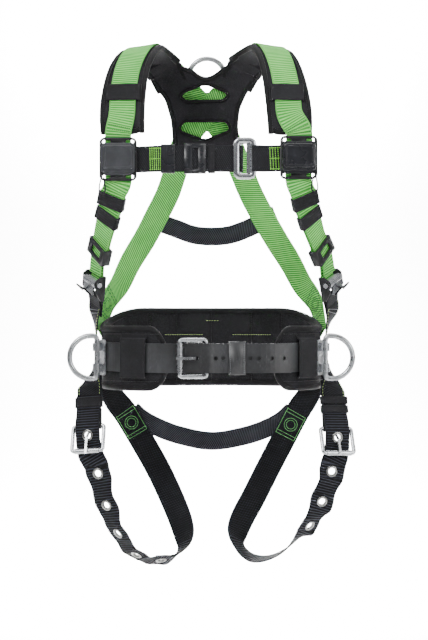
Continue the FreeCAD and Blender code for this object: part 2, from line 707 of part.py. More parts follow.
line = Frame((0, -117.3, Z_CHEST), (1, 0, 0), (0, -1, 0))
lo = -PLY - WEB_T / 2 - 0.9
hi = WEB_T / 2 + 0.5
save("chest_slide", band(line, -46, -9, WEB_W / 2 + 0.8, lo, hi, 2.4, (-32, -22, -18, 18)))
single = band(Frame((-74, -116.3, 339), (1, -0.05, 0), (-0.05, -1, 0)), -12, 12,
              WEB_W / 2 + 0.8, -WEB_T / 2 - 0.8, WEB_T / 2 + 0.8, 1.4)
double = band(line, -5, 7, WEB_W / 2 + 0.8, lo - 0.3, hi, 1.6)
share("chest_keepers", single)
share("chest_keepers", double)

# ---------------------------------------------------------------- torso webs, slides and cam buckles
CAM = {"l": Frame((-201, -29, 132), (-0.10, 0.28, -0.955), (-0.85, -0.5, 0)),
       "r": Frame((206, -29, 132), (0.18, 0.28, -0.94), (0.85, -0.5, 0))}
CAM_R = 8.0
TAIL = PLY + 2.2          # spacing of a free tail over its web
CAM_C = WEB_T / 2 + GAP + CAM_R
PIN_R = 2.5
CHEEK = WEB_W / 2 + 3.3       # inner face of the cam housing's cheeks
CHEEK_T = 2.6
TORSO = {
    "l": [((-167, -112.8, 280), (-0.2, -1, 0.1)), ((-174, -97, 252), (-0.35, -0.95, 0.2)),
          ((-184, -75, 220), (-0.5, -0.85, 0.25)), ((-191.5, -53, 190), (-0.7, -0.7, 0.1))],
    "r": [((157, -112.8, 281), (0.2, -1, 0.1)), ((165, -97, 252), (0.35, -0.95, 0.2)),
          ((177, -75, 220), (0.5, -0.85, 0.25)), ((189, -53, 190), (0.7, -0.7, 0.1))],
}


def torso_route(side, off):
    """Inner ply of the torso web, or its free tail when off is one ply."""
    f = CAM[side]
    rows = [(tuple(BOX[side].at(40, 0, off * 0.9)), tuple(BOX[side].c))]
    rows += lift(TORSO[side], off)
    rows.append((tuple(f.at(-38, 0, off)), tuple(f.c)))
    rows.append((tuple(f.at(-20, 0, off)), tuple(f.c)))
    return rows


def frame_on(route, i, f):
    """Local frame on a ribbon route between points i and i + 1."""
    rows = spline([[V(*r[0]), V(*r[1])] for r in route], 20)
    k = int((i + f) * 20)
    t = rows[k + 1][0] - rows[k - 1][0]
    return Frame(tuple(rows[k][0]), tuple(t), tuple(rows[k][1]))


for side in "lr":
    f = CAM[side]
    main = torso_route(side, 0)
    first = [(tuple(BOX[side].at(-15, 0, 0)), tuple(BOX[side].c)),
             (tuple(BOX[side].at(20, 0, 0)), tuple(BOX[side].c))]
    main = first + main + [(tuple(f.at(0, 0, 0)), tuple(f.c)), (tuple(f.at(13, 0, 0)), tuple(f.c))]
    save("torso_web_" + side, ribbon(main, WEB_W, WEB_T))
    tail = torso_route(side, TAIL)
    tail[-1] = (tuple(f.at(-13, 0, TAIL)), tuple(f.c))
    save("torso_tail_" + side, ribbon(tail[1:], WEB_W, WEB_T))
    bands = []
    for i, g in ((3, 0.45), (4, 0.35)):
        h = frame_on(main, i, g)
        bands.append(band(h, -9, 9, WEB_W / 2 + 1.2, -WEB_T / 2 - 2.0,
                          TAIL + WEB_T / 2 + 1.6, 1.5))
    share("torso_keepers", Part.Compound(bands))
    h = frame_on(main, 6, 0.25)
    slide = band(h, -16, 14, WEB_W / 2 + 1.8, -WEB_T / 2 - 2.2, TAIL + WEB_T / 2 + 2.6, 2.6,
                 (-8, 6, -15, 15))
    share("web_slides", slide)

    base = box(-14, 18, -CHEEK - 1.2, CHEEK + 1.2, -WEB_T / 2 - GAP - 2.4, -WEB_T / 2 - GAP)
    walls = []
    for b in (-1, 1):
        y0 = min(b * CHEEK, b * (CHEEK + CHEEK_T))
        prof = [V(-14, y0, -3), V(30, y0, -3), V(30, y0, 4), V(14, y0, 15), V(-8, y0, 15),
                V(-14, y0, 8)]
        prof.append(prof[0])
        walls.append(Part.Face(Part.makePolygon(prof)).extrude(V(0, CHEEK_T, 0)))
    # bottom bar that carries the hip web
    bar = tube(V(26, 0, 0), V(0, 1, 0), 2 * CHEEK + 4.4, 3.0, 0)
    body = fuse([base] + walls + [bar])
    body = body.cut(tube(V(0, 0, CAM_C), V(0, 1, 0), 60, PIN_R + 0.05, 0))
    save("cam_housing_" + side, f.place(body))
    cam = tube(V(0, 0, CAM_C), V(0, 1, 0), WEB_W + 2, CAM_R, PIN_R + ROLLER_RUN)
    ribs = []
    for k in range(9):
        ang = math.radians(-40 + 32 * k)
        x = (CAM_R + 0.6) * math.cos(ang)
        z = CAM_C + (CAM_R + 0.6) * math.sin(ang)
        ribs.append(tube(V(x, 0, z), V(0, 1, 0), 60, 1.5, 0))
    for r in ribs:
        cam = cam.cut(r)
    lever = box(3, 20, 2.5 - WEB_W / 2, WEB_W / 2 - 2.5, CAM_C + CAM_R - 3.4, CAM_C + CAM_R - 0.6)
    cam = cam.fuse(lever).cut(tube(V(0, 0, CAM_C), V(0, 1, 0), 60, PIN_R + ROLLER_RUN, 0))
    save("cam_" + side, f.place(cam))
    pin = tube(V(0, 0, CAM_C), V(0, 1, 0), 2 * CHEEK + 6.4, PIN_R, 0)
    heads = [tube(V(0, b * (CHEEK + 4), CAM_C), V(0, 1, 0), 1.8, PIN_R + 2, 0) for b in (-1, 1)]
    share("cam_pins", f.place(fuse([pin] + heads)))
    # bail: bent wire from the cam's lever, standing outwards
    zc = CAM_C + CAM_R - 2 + 3.4
    bail = [(20, -16, zc), (8, -16, zc + 14), (8, 16, zc + 14), (20, 16, zc)]
    pts = [tuple(f.at(*p)) for p in bail]
    save("cam_bail_" + side, rod(pts, 1.6, 5.0))

# ---------------------------------------------------------------- leg buckles and hip webs
LEG = {"l": Frame((-213, -63, -122), (0.0, -0.27, -0.963), (-0.30, -0.92, 0.25)),
       "r": Frame((217, -63, -126), (0.06, -0.27, -0.96), (0.30, -0.92, 0.25))}
LEG_FOLD = BAR_R + 0.3 + WEB_T
LEG_TONGUE = LEG_FOLD + GAP + WEB_T / 2
LEG_ROLL_R = 5.0
LEG_ROLL_C = -0.6 + WEB_T / 2 + GAP + LEG_ROLL_R
LEG_PLY = PLY + 0.4
EYELET_C = 4.6          # height of the engaged eyelet over the buckle bar's plane
EYELET_SLOPE = (10.5, -2.5)
EYELET_LIFT = 0.45      # clearance of an eyelet's flanges over the web
HIP = {
    "l": [((-211.5, -30, -36), (-0.75, -0.6, 0)), ((-206, -15, -14), (-0.98, -0.15, 0)),
          ((-202.8, -12.5, 8), (-1, -0.1, 0)), ((-203.0, -12, 32), (-1, -0.08, 0)),
          ((-204.5, -13.5, 58), (-0.97, -0.2, 0))],
    "r": [((213.5, -31, -38), (0.75, -0.6, 0)), ((206.8, -15, -14), (0.98, -0.15, 0)),
          ((202.9, -12.5, 8), (1, -0.1, 0)), ((203.2, -12, 32), (1, -0.08, 0)),
          ((207.5, -13.5, 58), (0.97, -0.2, 0))],
}
for side in "lr":
    f = LEG[side]
    c = CAM[side]
    rows = [(tuple(f.at(-LEG_FOLD + 1.2, 0, 0)), tuple(f.c)), (tuple(f.at(-30, 0, 0)), tuple(f.c)),
            (tuple(f.at(-55, 0, 0)), tuple(f.c)), (tuple(f.at(-69, 0, 0)), tuple(f.c))]
    rows += HIP[side]
    rows += [(tuple(c.at(a, 0, 0)), tuple(c.c)) for a in (52, 41, 30.2)]
    web = ribbon(rows, WEB_W, WEB_T)
    low = tube(f.at(0, 0, 0), f.b, WEB_W, LEG_FOLD, BAR_R + 0.3)
    low = with_slot(web.fuse(low), f, 8.0, LEG_FOLD + 3)
    top = tube(c.at(26, 0, 0), c.b, WEB_W, 3.0 + 0.3 + WEB_T, 3.3)
    save("hip_web_" + side, low.fuse(top).removeSplitter())
    buckle("leg_buckle", "_" + side, f, WEB_W / 2 + 6, LEG_ROLL_C, LEG_ROLL_R, 4.0, 9.6, 2.2)

# leg webs: hip, behind the seat, under the crotch, up the front through the buckle
LEG_ROUTE = {
    "l": [((-190, 57, -14), (-0.86, 0.51, 0)), ((-190, 58, -42), (-0.86, 0.51, 0)),
          ((-184, 69, -68), (-0.7, 0.7, 0)), ((-172, 84, -88), (-0.4, 0.9, 0)),
          ((-157, 94, -108), (-0.15, 1, 0)), ((-126, 95, -160), (0.1, 1, -0.1)),
          ((-96, 84, -212), (0.2, 0.95, -0.25)), ((-70, 60, -264), (0.3, 0.9, -0.35)),
          ((-53, 35, -304), (0.5, 0.7, -0.5)), ((-47, 14, -333), (0.7, 0.3, -0.65)),
          ((-58, 3, -353), (0.4, -0.15, -0.9))],
    "r": [((190, 57, -12), (0.86, 0.51, 0)), ((190, 58, -40), (0.86, 0.51, 0)),
          ((184, 69, -64), (0.7, 0.7, 0)), ((172, 84, -84), (0.4, 0.9, 0)),
          ((158, 94, -106), (0.15, 1, 0)), ((132, 95, -156), (-0.1, 1, -0.1)),
          ((104, 84, -208), (-0.2, 0.95, -0.25)), ((77, 60, -258), (-0.3, 0.9, -0.35)),
          ((54, 35, -298), (-0.5, 0.7, -0.5)), ((45, 14, -327), (-0.7, 0.3, -0.65)),
          ((57, 2, -349), (-0.4, 0.1, -0.9)), ((79, -12, -360), (-0.1, 0.18, -0.97)),
          ((104, -25, -356), (0.1, 0.12, -0.98)), ((130, -38, -341), (0.4, 0.0, -0.9)),
          ((150, -48, -320), (0.66, -0.25, -0.66))],
}
# eyelets up the front of each leg: centre, direction along the web, outward normal
EYELETS = {
    "l": [((-89, -11, -362), (-0.88, -0.42, 0.08), (0.0, -0.50, -0.85)),
          ((-131, -37, -349), (-0.77, -0.35, 0.54), (-0.30, -0.46, -0.83)),
          ((-162, -56, -309), (-0.47, -0.26, 0.84), (-0.62, -0.64, -0.45)),
          ((-181.5, -69, -259), (-0.29, -0.17, 0.94), (-0.50, -0.85, -0.10)),
          ((-196, -77, -203), (-0.22, -0.06, 0.98), (-0.28, -0.94, 0.05))],
    "r": [((171.5, -58, -295.5), (0.50, -0.25, 0.82), (0.58, -0.68, -0.45)),
          ((192.5, -71, -252), (0.36, -0.17, 0.92), (0.30, -0.93, -0.12)),
          ((209, -79, -199), (0.22, -0.08, 0.98), (0.14, -0.97, 0.08))],
}
EYELET_FLAT = (-15, -10, 0, 10, 15)     # sections that keep the web flat at an eyelet
# last sections up to the buckle: along, inwards and outwards from its bar
LEG_ENTRY = [(49, 3.0, -1.7), (43, 1.8, -1.3), (34, 0.6, 0.4)]


def eyelet_frames(side):
    return [Frame(*e) for e in EYELETS[side]]


def leg_route(side):
    f = LEG[side]
    inwards = 1 if side == "l" else -1
    rows = list(LEG_ROUTE[side])
    for h in eyelet_frames(side):
        for a in EYELET_FLAT:
            rows.append((tuple(h.at(a, 0, 0)), tuple(h.c)))
    for a, b, h in LEG_ENTRY:
        rows.append((tuple(f.at(a, inwards * b, h)), tuple(f.c)))
    # flat where the engaged eyelet sits, between 7 and 27 mm from the bar
    pairs = [(27.5, 2.1), (17, EYELET_C), (6.5, 7.1), (-5, LEG_TONGUE * 0.97),
             (-15, LEG_TONGUE * 0.7), (-26, LEG_PLY), (-42, LEG_PLY), (-55, LEG_PLY)]
    for a, h in pairs:
        rows.append((tuple(f.at(a, 0, h)), tuple(f.c)))
    return rows


for side in "lr":
    route = leg_route(side)
    web = ribbon(route, WEB_W, WEB_T)
    spots = eyelet_frames(side)
    f = LEG[side]
    engaged = Frame(tuple(f.at(17.0, 0, EYELET_C)),
                    tuple(f.a * EYELET_SLOPE[0] + f.c * EYELET_SLOPE[1]), tuple(f.c))
    spots.append(engaged)
    rings = []
    for h in spots:
        web = web.cut(h.place(tube(V(0, 0, 0), V(0, 0, 1), 8, GROMMET_R + 0.75, 0)))
        gap_t = WEB_T + 2 * EYELET_LIFT
        core = tube(V(0, 0, 0), V(0, 0, 1), gap_t + 1.3, GROMMET_OUT, GROMMET_R)
        gap = tube(V(0, 0, 0), V(0, 0, 1), gap_t, GROMMET_OUT + 1, GROMMET_R + 0.6)
        rings.append(h.place(core.cut(gap)))
    save("leg_web_" + side, web)
    share("leg_grommets", Part.Compound(rings))
    bands = []
    marks = (-42,) if side == "l" else (-34, -50)
    for a in marks:
        half = 9 if side == "l" else 6.5
        bands.append(band(f, a - half, a + half, WEB_W / 2 + 0.9, -WEB_T / 2 - 0.8,
                          LEG_PLY + WEB_T / 2 + 0.8, 1.5))
    share("leg_keepers", Part.Compound(bands))

# ---------------------------------------------------------------- seat web across the back
seat = [((-146, 100.0, -102), (0.0, 1, -0.05)), ((-128, 100.3, -118), (0.08, 1, -0.08)),
        ((-100, 106, -134), (-0.2, 1, -0.05)), ((-60, 122, -150), (-0.3, 1, 0)),
        ((0, 134, -162), (0, 1, 0)), ((60, 122, -152), (0.3, 1, 0)),
        ((104, 106, -136), (0.2, 1, -0.05)), ((132, 100.3, -120), (-0.08, 1, -0.08)),
        ((150, 100.0, -103), (0.0, 1, -0.05))]
save("seat_web", ribbon(seat, 34, WEB_T))

for name, solids in SHARED.items():
    save(name, Part.Compound(solids))
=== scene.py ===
"""Full-body work-positioning harness: webbing, pads, leather belt and steel hardware."""
import json
import math

import bmesh
import bpy
from bpy.props import FloatProperty, PointerProperty, StringProperty
from mathutils import Matrix, Vector
from mathutils.kdtree import KDTree

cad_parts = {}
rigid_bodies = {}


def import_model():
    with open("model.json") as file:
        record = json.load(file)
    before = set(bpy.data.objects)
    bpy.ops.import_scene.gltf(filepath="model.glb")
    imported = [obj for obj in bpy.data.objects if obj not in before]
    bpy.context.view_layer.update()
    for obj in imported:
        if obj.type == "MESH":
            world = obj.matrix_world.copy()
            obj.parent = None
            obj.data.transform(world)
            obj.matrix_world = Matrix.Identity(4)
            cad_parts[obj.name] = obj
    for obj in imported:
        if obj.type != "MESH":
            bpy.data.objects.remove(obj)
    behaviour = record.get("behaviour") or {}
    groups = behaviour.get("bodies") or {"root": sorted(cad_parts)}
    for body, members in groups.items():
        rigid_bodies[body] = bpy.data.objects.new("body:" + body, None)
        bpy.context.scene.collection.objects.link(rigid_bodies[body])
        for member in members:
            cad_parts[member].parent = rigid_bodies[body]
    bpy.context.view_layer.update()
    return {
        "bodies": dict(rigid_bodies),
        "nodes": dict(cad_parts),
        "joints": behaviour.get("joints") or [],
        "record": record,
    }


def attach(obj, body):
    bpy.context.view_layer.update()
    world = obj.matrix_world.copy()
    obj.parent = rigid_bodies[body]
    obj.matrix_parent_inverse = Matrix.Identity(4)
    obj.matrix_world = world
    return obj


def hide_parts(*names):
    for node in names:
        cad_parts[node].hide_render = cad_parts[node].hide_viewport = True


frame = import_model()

bl_info = {
    "name": "Work Positioning Harness",
    "version": (1, 0, 0),
    "blender": (4, 5, 0),
    "location": "3D View > Sidebar > Harness",
    "description": "Builds the webbing, pads, leather and hardware of a full-body harness",
    "category": "Object",
}

MM = 0.001
BODY = "harness"

# ------------------------------------------------------------------ sizes shared with the frame (mm)
WEB_W = 45.0
WEB_T = 2.2
STITCH_LIFT = 0.35
GAP = 0.4
LEATHER_T = 3.6
WAIST_A = 190.0
WAIST_B = 128.0
FLAT = 80.0
PAD_T = 14.0
SHOULDER_T = 10.0
YOKE_T = 8.0
BACK_A = 207.0
BACK_B = 140.0
BAR_R = 3.5
PLY = WEB_T + 0.5
TAIL = PLY + 2.2
ON_PAD = PAD_T / 2 + GAP + LEATHER_T / 2
LEATHER_PLY = LEATHER_T + 0.5
ON_SHOULDER = SHOULDER_T / 2 + 2.2 + WEB_T / 2
ON_YOKE = YOKE_T / 2 + 1.8 + WEB_T / 2
YOKE_LEAN = 11.0

# ------------------------------------------------------------------ sizes of the sewn finish (mm)
PAD_VOXEL = 5.0
YOKE_SWELL = 1.6
SHOULDER_SWELL = 2.2
LIP_GRIP = 6.0
LIP_ROLL = 2.8
CHANNEL_DEPTH = 2.2
CHANNEL_REACH = 3.0
STRAP_STEP = 3.0
SEWN_HALF = 24.0
TACK_HALF = 18.0
EYELET_HOLE_R = 6.3
EYELET_FLANGE_R = 7.9
LEG_RIB_PITCH = 4.8
CHEST_Z = 339.0

# ------------------------------------------------------------------ stage (m, and shares of the key light)
FLOOR_Z = -0.95
FLOOR_BACK = 4.6
SWEEP_R = 1.6
WALL_TOP = 6.0
STAGE_HALF = 9.0
FILL_SHARE = 0.5
TOP_SHARE = 0.5
FLOOR_WASH = 7.4
WALL_WASH = 10.6
CAMERA_X = 0.005
CAMERA_Z = 0.063
CAMERA_LENS = 94.8


# ------------------------------------------------------------------ local frames and routes
class Local:
    """Local axes: a along the strap, b across it, c outwards. Everything in mm."""

    def __init__(self, origin, along, out):
        self.o = Vector(origin)
        self.a = Vector(along).normalized()
        side = Vector(out)
        self.c = (side - self.a * side.dot(self.a)).normalized()
        self.b = self.c.cross(self.a)

    def at(self, a, b, c):
        return self.o + self.a * a + self.b * b + self.c * c

YOKE = Local((-8, 130, 388), (1, 0, 0),
             (0, math.cos(math.radians(YOKE_LEAN)), math.sin(math.radians(YOKE_LEAN))))
BOX = {"l": Local((-159, -114, 338), (0, 0, -1), (0, -1, 0)),
       "r": Local((150, -114, 341), (0, 0, -1), (0, -1, 0))}
CAM = {"l": Local((-201, -29, 132), (-0.10, 0.28, -0.955), (-0.85, -0.5, 0)),
       "r": Local((206, -29, 132), (0.18, 0.28, -0.94), (0.85, -0.5, 0))}
LEG = {"l": Local((-213, -63, -122), (0.0, -0.27, -0.963), (-0.30, -0.92, 0.25)),
       "r": Local((217, -63, -126), (0.06, -0.27, -0.96), (0.30, -0.92, 0.25))}
BELT = Local((-8.0, -WAIST_B - ON_PAD, -2), (-1, 0, 0), (0, -1, 0))

# the cord's loop, down from the ear and across it
CORD_LOOP = [(31.0, -0.8), (39.0, -3.5), (48.0, -5.2), (56.0, -5.2), (60.5, 0.0), (56.0, 5.2),
             (48.0, 5.2), (39.0, 3.5), (31.5, 0.8 + 1.8)]

# pads over the shoulders: point, outward normal, width
PAD_ROUTE = {
    "l": [((-86, 98, 523), (-0.30, 0.60, 0.70), 70), ((-104, 62, 541), (-0.2, 0.25, 1), 66),
          ((-117, 20, 546), (-0.15, -0.05, 1), 65), ((-131, -28, 530), (-0.1, -0.6, 0.8), 68),
          ((-144, -62, 497), (-0.1, -0.85, 0.5), 73), ((-151, -88, 452), (-0.05, -1, 0.25), 77),
          ((-153, -100, 415), (0, -1, 0.15), 78), ((-152, -104, 384), (0, -1, 0.1), 76)],
    "r": [((60, 98, 525), (0.30, 0.60, 0.70), 70), ((82, 62, 542), (0.2, 0.25, 1), 66),
          ((99, 20, 547), (0.15, -0.05, 1), 65), ((112, -28, 531), (0.1, -0.6, 0.8), 68),
          ((123, -62, 498), (0.1, -0.85, 0.5), 73), ((131, -88, 452), (0.05, -1, 0.25), 77),
          ((135, -100, 415), (0, -1, 0.15), 78), ((136, -104, 384), (0, -1, 0.1), 76)],
}
HIP_REAR = {
    "l": [((-186, 58, 98), (-0.84, 0.54, 0.05)), ((-195.2, 39, 66), (-0.93, 0.37, 0)),
          ((-199.6, 25, 39), (-0.97, 0.25, 0))],
    "r": [((187, 58, 98), (0.84, 0.54, 0.05)), ((195.2, 39, 66), (0.93, 0.37, 0)),
          ((199.6, 25, 39), (0.97, 0.25, 0))],
}
BACK_XZ = {
    "l": [(-66, 336), (-80, 296), (-101, 254), (-122, 212), (-146, 170), (-164, 130)],
    "r": [(56, 336), (73, 296), (95, 254), (118, 212), (143, 170), (163, 130)],
}
BACK_LIFT = (12, 7, 4, 4, 4, 4)
TORSO = {
    "l": [((-167, -112.8, 280), (-0.2, -1, 0.1)), ((-174, -97, 252), (-0.35, -0.95, 0.2)),
          ((-184, -75, 220), (-0.5, -0.85, 0.25)), ((-191.5, -53, 190), (-0.7, -0.7, 0.1))],
    "r": [((157, -112.8, 281), (0.2, -1, 0.1)), ((165, -97, 252), (0.35, -0.95, 0.2)),
          ((177, -75, 220), (0.5, -0.85, 0.25)), ((189, -53, 190), (0.7, -0.7, 0.1))],
}
HIP = {
    "l": [((-211.5, -30, -36), (-0.75, -0.6, 0)), ((-206, -15, -14), (-0.98, -0.15, 0)),
          ((-202.8, -12.5, 8), (-1, -0.1, 0)), ((-203.0, -12, 32), (-1, -0.08, 0)),
          ((-204.5, -13.5, 58), (-0.97, -0.2, 0))],
    "r": [((213.5, -31, -38), (0.75, -0.6, 0)), ((206.8, -15, -14), (0.98, -0.15, 0)),
          ((202.9, -12.5, 8), (1, -0.1, 0)), ((203.2, -12, 32), (1, -0.08, 0)),
          ((207.5, -13.5, 58), (0.97, -0.2, 0))],
}
LEG_ROUTE = {
    "l": [((-190, 57, -14), (-0.86, 0.51, 0)), ((-190, 58, -42), (-0.86, 0.51, 0)),
          ((-184, 69, -68), (-0.7, 0.7, 0)), ((-172, 84, -88), (-0.4, 0.9, 0)),
          ((-157, 94, -108), (-0.15, 1, 0)), ((-126, 95, -160), (0.1, 1, -0.1)),
          ((-96, 84, -212), (0.2, 0.95, -0.25)), ((-70, 60, -264), (0.3, 0.9, -0.35)),
          ((-53, 35, -304), (0.5, 0.7, -0.5)), ((-47, 14, -333), (0.7, 0.3, -0.65)),
          ((-58, 3, -353), (0.4, -0.15, -0.9))],
    "r": [((190, 57, -12), (0.86, 0.51, 0)), ((190, 58, -40), (0.86, 0.51, 0)),
          ((184, 69, -64), (0.7, 0.7, 0)), ((172, 84, -84), (0.4, 0.9, 0)),
          ((158, 94, -106), (0.15, 1, 0)), ((132, 95, -156), (-0.1, 1, -0.1)),
          ((104, 84, -208), (-0.2, 0.95, -0.25)), ((77, 60, -258), (-0.3, 0.9, -0.35)),
          ((54, 35, -298), (-0.5, 0.7, -0.5)), ((45, 14, -327), (-0.7, 0.3, -0.65)),
          ((57, 2, -349), (-0.4, 0.1, -0.9)), ((79, -12, -360), (-0.1, 0.18, -0.97)),
          ((104, -25, -356), (0.1, 0.12, -0.98)), ((130, -38, -341), (0.4, 0.0, -0.9)),
          ((150, -48, -320), (0.66, -0.25, -0.66))],
}
# eyelets up the front of each leg: centre, direction along the web, outward normal
EYELETS = {
    "l": [((-89, -11, -362), (-0.88, -0.42, 0.08), (0.0, -0.50, -0.85)),
          ((-131, -37, -349), (-0.77, -0.35, 0.54), (-0.30, -0.46, -0.83)),
          ((-162, -56, -309), (-0.47, -0.26, 0.84), (-0.62, -0.64, -0.45)),
          ((-181.5, -69, -259), (-0.29, -0.17, 0.94), (-0.50, -0.85, -0.10)),
          ((-196, -77, -203), (-0.22, -0.06, 0.98), (-0.28, -0.94, 0.05))],
    "r": [((171.5, -58, -295.5), (0.50, -0.25, 0.82), (0.58, -0.68, -0.45)),
          ((192.5, -71, -252), (0.36, -0.17, 0.92), (0.30, -0.93, -0.12)),
          ((209, -79, -199), (0.22, -0.08, 0.98), (0.14, -0.97, 0.08))],
}
EYELET_FLAT = (-15, -10, 0, 10, 15)     # sections that keep the web flat at an eyelet
# last sections up to the buckle: along, inwards and outwards from its bar
LEG_ENTRY = [(49, 3.0, -1.7), (43, 1.8, -1.3), (34, 0.6, 0.4)]
SEAT = [((-146, 100.0, -102), (0.0, 1, -0.05)), ((-128, 100.3, -118), (0.08, 1, -0.08)),
        ((-100, 106, -134), (-0.2, 1, -0.05)), ((-60, 122, -150), (-0.3, 1, 0)),
        ((0, 134, -162), (0, 1, 0)), ((60, 122, -152), (0.3, 1, 0)),
        ((104, 106, -136), (0.2, 1, -0.05)), ((132, 100.3, -120), (-0.08, 1, -0.08)),
        ((150, 100.0, -103), (0.0, 1, -0.05))]
LUMBAR = [(-118, 256), (-98, 246), (-63, 233), (-32, 222), (0, 219), (34, 222), (67, 234),
          (96, 248), (116, 258)]


CHEST_L = [((-168, -110.9, 338), (0, 0, 1)), ((-140, -110.9, 338), (0, 0, 1)),
           ((-124, -111.4, 338), (0, 0, 1)), ((-90, -115.5, 339), (0, 0, 1)),
           ((-46, -117.3, 339), (0, 0, 1)), ((14, -117.3, 339), (0, 0, 1)),
           ((49, -117.3, 339), (0, 0, 1)), ((52.6, -116.2, 339), (0, 0, 1)),
           ((53.9, -113.5, 339), (0, 0, 1)), ((52.6, -110.8, 339), (0, 0, 1)),
           ((49, -109.7, 339), (0, 0, 1)), ((24, -112.5, 339), (0, 0, 1)),
           ((12, -113.9, 339), (0, 0, 1)), ((-36, -114.2, 339), (0, 0, 1))]
ADJUSTER_X = 75.1
CHEST_R = [((161, -110.9, 341), (0, 0, 1)), ((134, -110.9, 341), (0, 0, 1)),
          ((116, -112.8, 340), (0, 0, 1)), ((96, -118.5, 339), (0, 0, 1)),
          ((80, -126.2, 339), (0, 0, 1)), ((ADJUSTER_X, -126.9, 339), (0, 0, 1)),
          ((ADJUSTER_X - 3.6, -125.2, 339), (0, 0, 1)), ((ADJUSTER_X - 4.7, -122.3, 339), (0, 0, 1)),
          ((ADJUSTER_X - 3.6, -119.2, 339), (0, 0, 1)), ((ADJUSTER_X, -117.7, 339), (0, 0, 1)),
          ((80, -117.4, 339), (0, 0, 1)), ((92, -115.2, 339), (0, 0, 1)),
          ((108, -111.4, 340), (0, 0, 1))]


def blend_samples(points, steps):
    """Catmull-Rom samples through rows of vectors."""
    out = []
    n = len(points)
    for i in range(n - 1):
        for k in range(steps):
            f = k / steps
            row = []
            for j in range(len(points[0])):
                p1 = points[i][j]
                p2 = points[i + 1][j]
                p0 = points[i - 1][j] if i > 0 else p1 * 2 - p2
                p3 = points[i + 2][j] if i + 2 < n else p2 * 2 - p1
                q = p1 * 2 + (p2 - p0) * f
                q = q + (p0 * 2 - p1 * 5 + p2 * 4 - p3) * (f * f)
                q = q + (p1 * 3 - p0 - p2 * 3 + p3) * (f * f * f)
                row.append(q * 0.5)
            out.append(row)
    out.append(list(points[-1]))
    return out


class Row:
    """One cross-section of a strap: place, axes, width and run length from the start."""

    def __init__(self, p, t, n, w, width, run):
        self.p = p
        self.t = t
        self.n = n
        self.w = w
        self.width = width
        self.run = run


def rows_of(route, width, across=False, steps=8):
    """Sections along a route of (point, outward normal or across direction[, width])."""
    pts = []
    for r in route:
        wide = r[2] if len(r) > 2 else width
        pts.append([Vector(r[0]), Vector(r[1]), Vector((wide, 0, 0))])
    samples = blend_samples(pts, steps) if steps > 1 else pts
    rows = []
    run = 0.0
    for i, s in enumerate(samples):
        before = samples[max(i - 1, 0)][0]
        after = samples[min(i + 1, len(samples) - 1)][0]
        t = (after - before).normalized()
        h = s[1]
        if across:
            w = (h - t * h.dot(t)).normalized()
            n = t.cross(w)
        else:
            n = (h - t * h.dot(t)).normalized()
            w = n.cross(t)
        if i:
            run += (s[0] - samples[i - 1][0]).length
        rows.append(Row(s[0].copy(), t, n, w, s[2].x, run))
    return rows


def point_on(rows, run, side, lift):
    """Point at a run length (mm), side mm from the middle, lift mm outwards."""
    run = min(max(run, 0.0), rows[-1].run)
    lo = 0
    hi = len(rows) - 1
    while hi - lo > 1:
        mid = (lo + hi) // 2
        if rows[mid].run <= run:
            lo = mid
        else:
            hi = mid
    a = rows[lo]
    b = rows[hi]
    f = (run - a.run) / max(b.run - a.run, 1e-6)
    p = a.p.lerp(b.p, f)
    w = a.w.lerp(b.w, f).normalized()
    n = a.n.lerp(b.n, f).normalized()
    return p + w * side + n * lift, n, w


def lifted(route, off):
    out = []
    for r in route:
        n = Vector(r[1]).normalized()
        out.append((tuple(Vector(r[0]) + n * off), r[1]) + tuple(r[2:3]))
    return out


def on_back(x, z, layer):
    y = BACK_B * math.sqrt(max(0.0, 1 - (x / BACK_A) ** 2))
    n = Vector((x / BACK_A ** 2, y / BACK_B ** 2, 0)).normalized()
    return (tuple(Vector((x, y, z)) + n * layer), tuple(n))


# ------------------------------------------------------------------ the waist line
def waist_table():
    rows = []
    count = 240
    for k in range(count + 1):
        rows.append((Vector((-FLAT + 2 * FLAT * k / count, -WAIST_B, 0)), Vector((0, -1, 0))))
    reach = WAIST_A - FLAT
    for k in range(1, count + 1):
        f = math.pi / 2 * k / count
        p = Vector((FLAT + reach * math.sin(f), -WAIST_B * math.cos(f), 0))
        rows.append((p, Vector(((p.x - FLAT) / reach ** 2, p.y / WAIST_B ** 2, 0)).normalized()))
    for k in range(1, 2 * count + 1):
        f = math.pi * k / (2 * count)
        p = Vector((WAIST_A * math.cos(f), WAIST_B * math.sin(f), 0))
        rows.append((p, Vector((p.x / WAIST_A ** 2, p.y / WAIST_B ** 2, 0)).normalized()))
    for k in range(1, count + 1):
        f = math.pi / 2 * k / count
        p = Vector((-FLAT - reach * math.cos(f), -WAIST_B * math.sin(f), 0))
        rows.append((p, Vector(((p.x + FLAT) / reach ** 2, p.y / WAIST_B ** 2, 0)).normalized()))
    length = [-FLAT]
    for i in range(1, len(rows)):
        length.append(length[-1] + (rows[i][0] - rows[i - 1][0]).length)
    return rows, length


WAIST_ROWS, WAIST_RUN = waist_table()
GIRTH = WAIST_RUN[-1] - WAIST_RUN[0]


def waist(s, off, z):
    """Point and normal at arc length s from front centre, off mm outside the pad's middle."""
    while s < WAIST_RUN[0]:
        s += GIRTH
    while s > WAIST_RUN[-1]:
        s -= GIRTH
    lo = 0
    hi = len(WAIST_RUN) - 1
    while hi - lo > 1:
        mid = (lo + hi) // 2
        if WAIST_RUN[mid] <= s:
            lo = mid
        else:
            hi = mid
    f = (s - WAIST_RUN[lo]) / (WAIST_RUN[hi] - WAIST_RUN[lo])
    p = WAIST_ROWS[lo][0].lerp(WAIST_ROWS[hi][0], f)
    n = WAIST_ROWS[lo][1].lerp(WAIST_ROWS[hi][1], f).normalized()
    q = p + n * off
    return Vector((q.x, q.y, z)), n


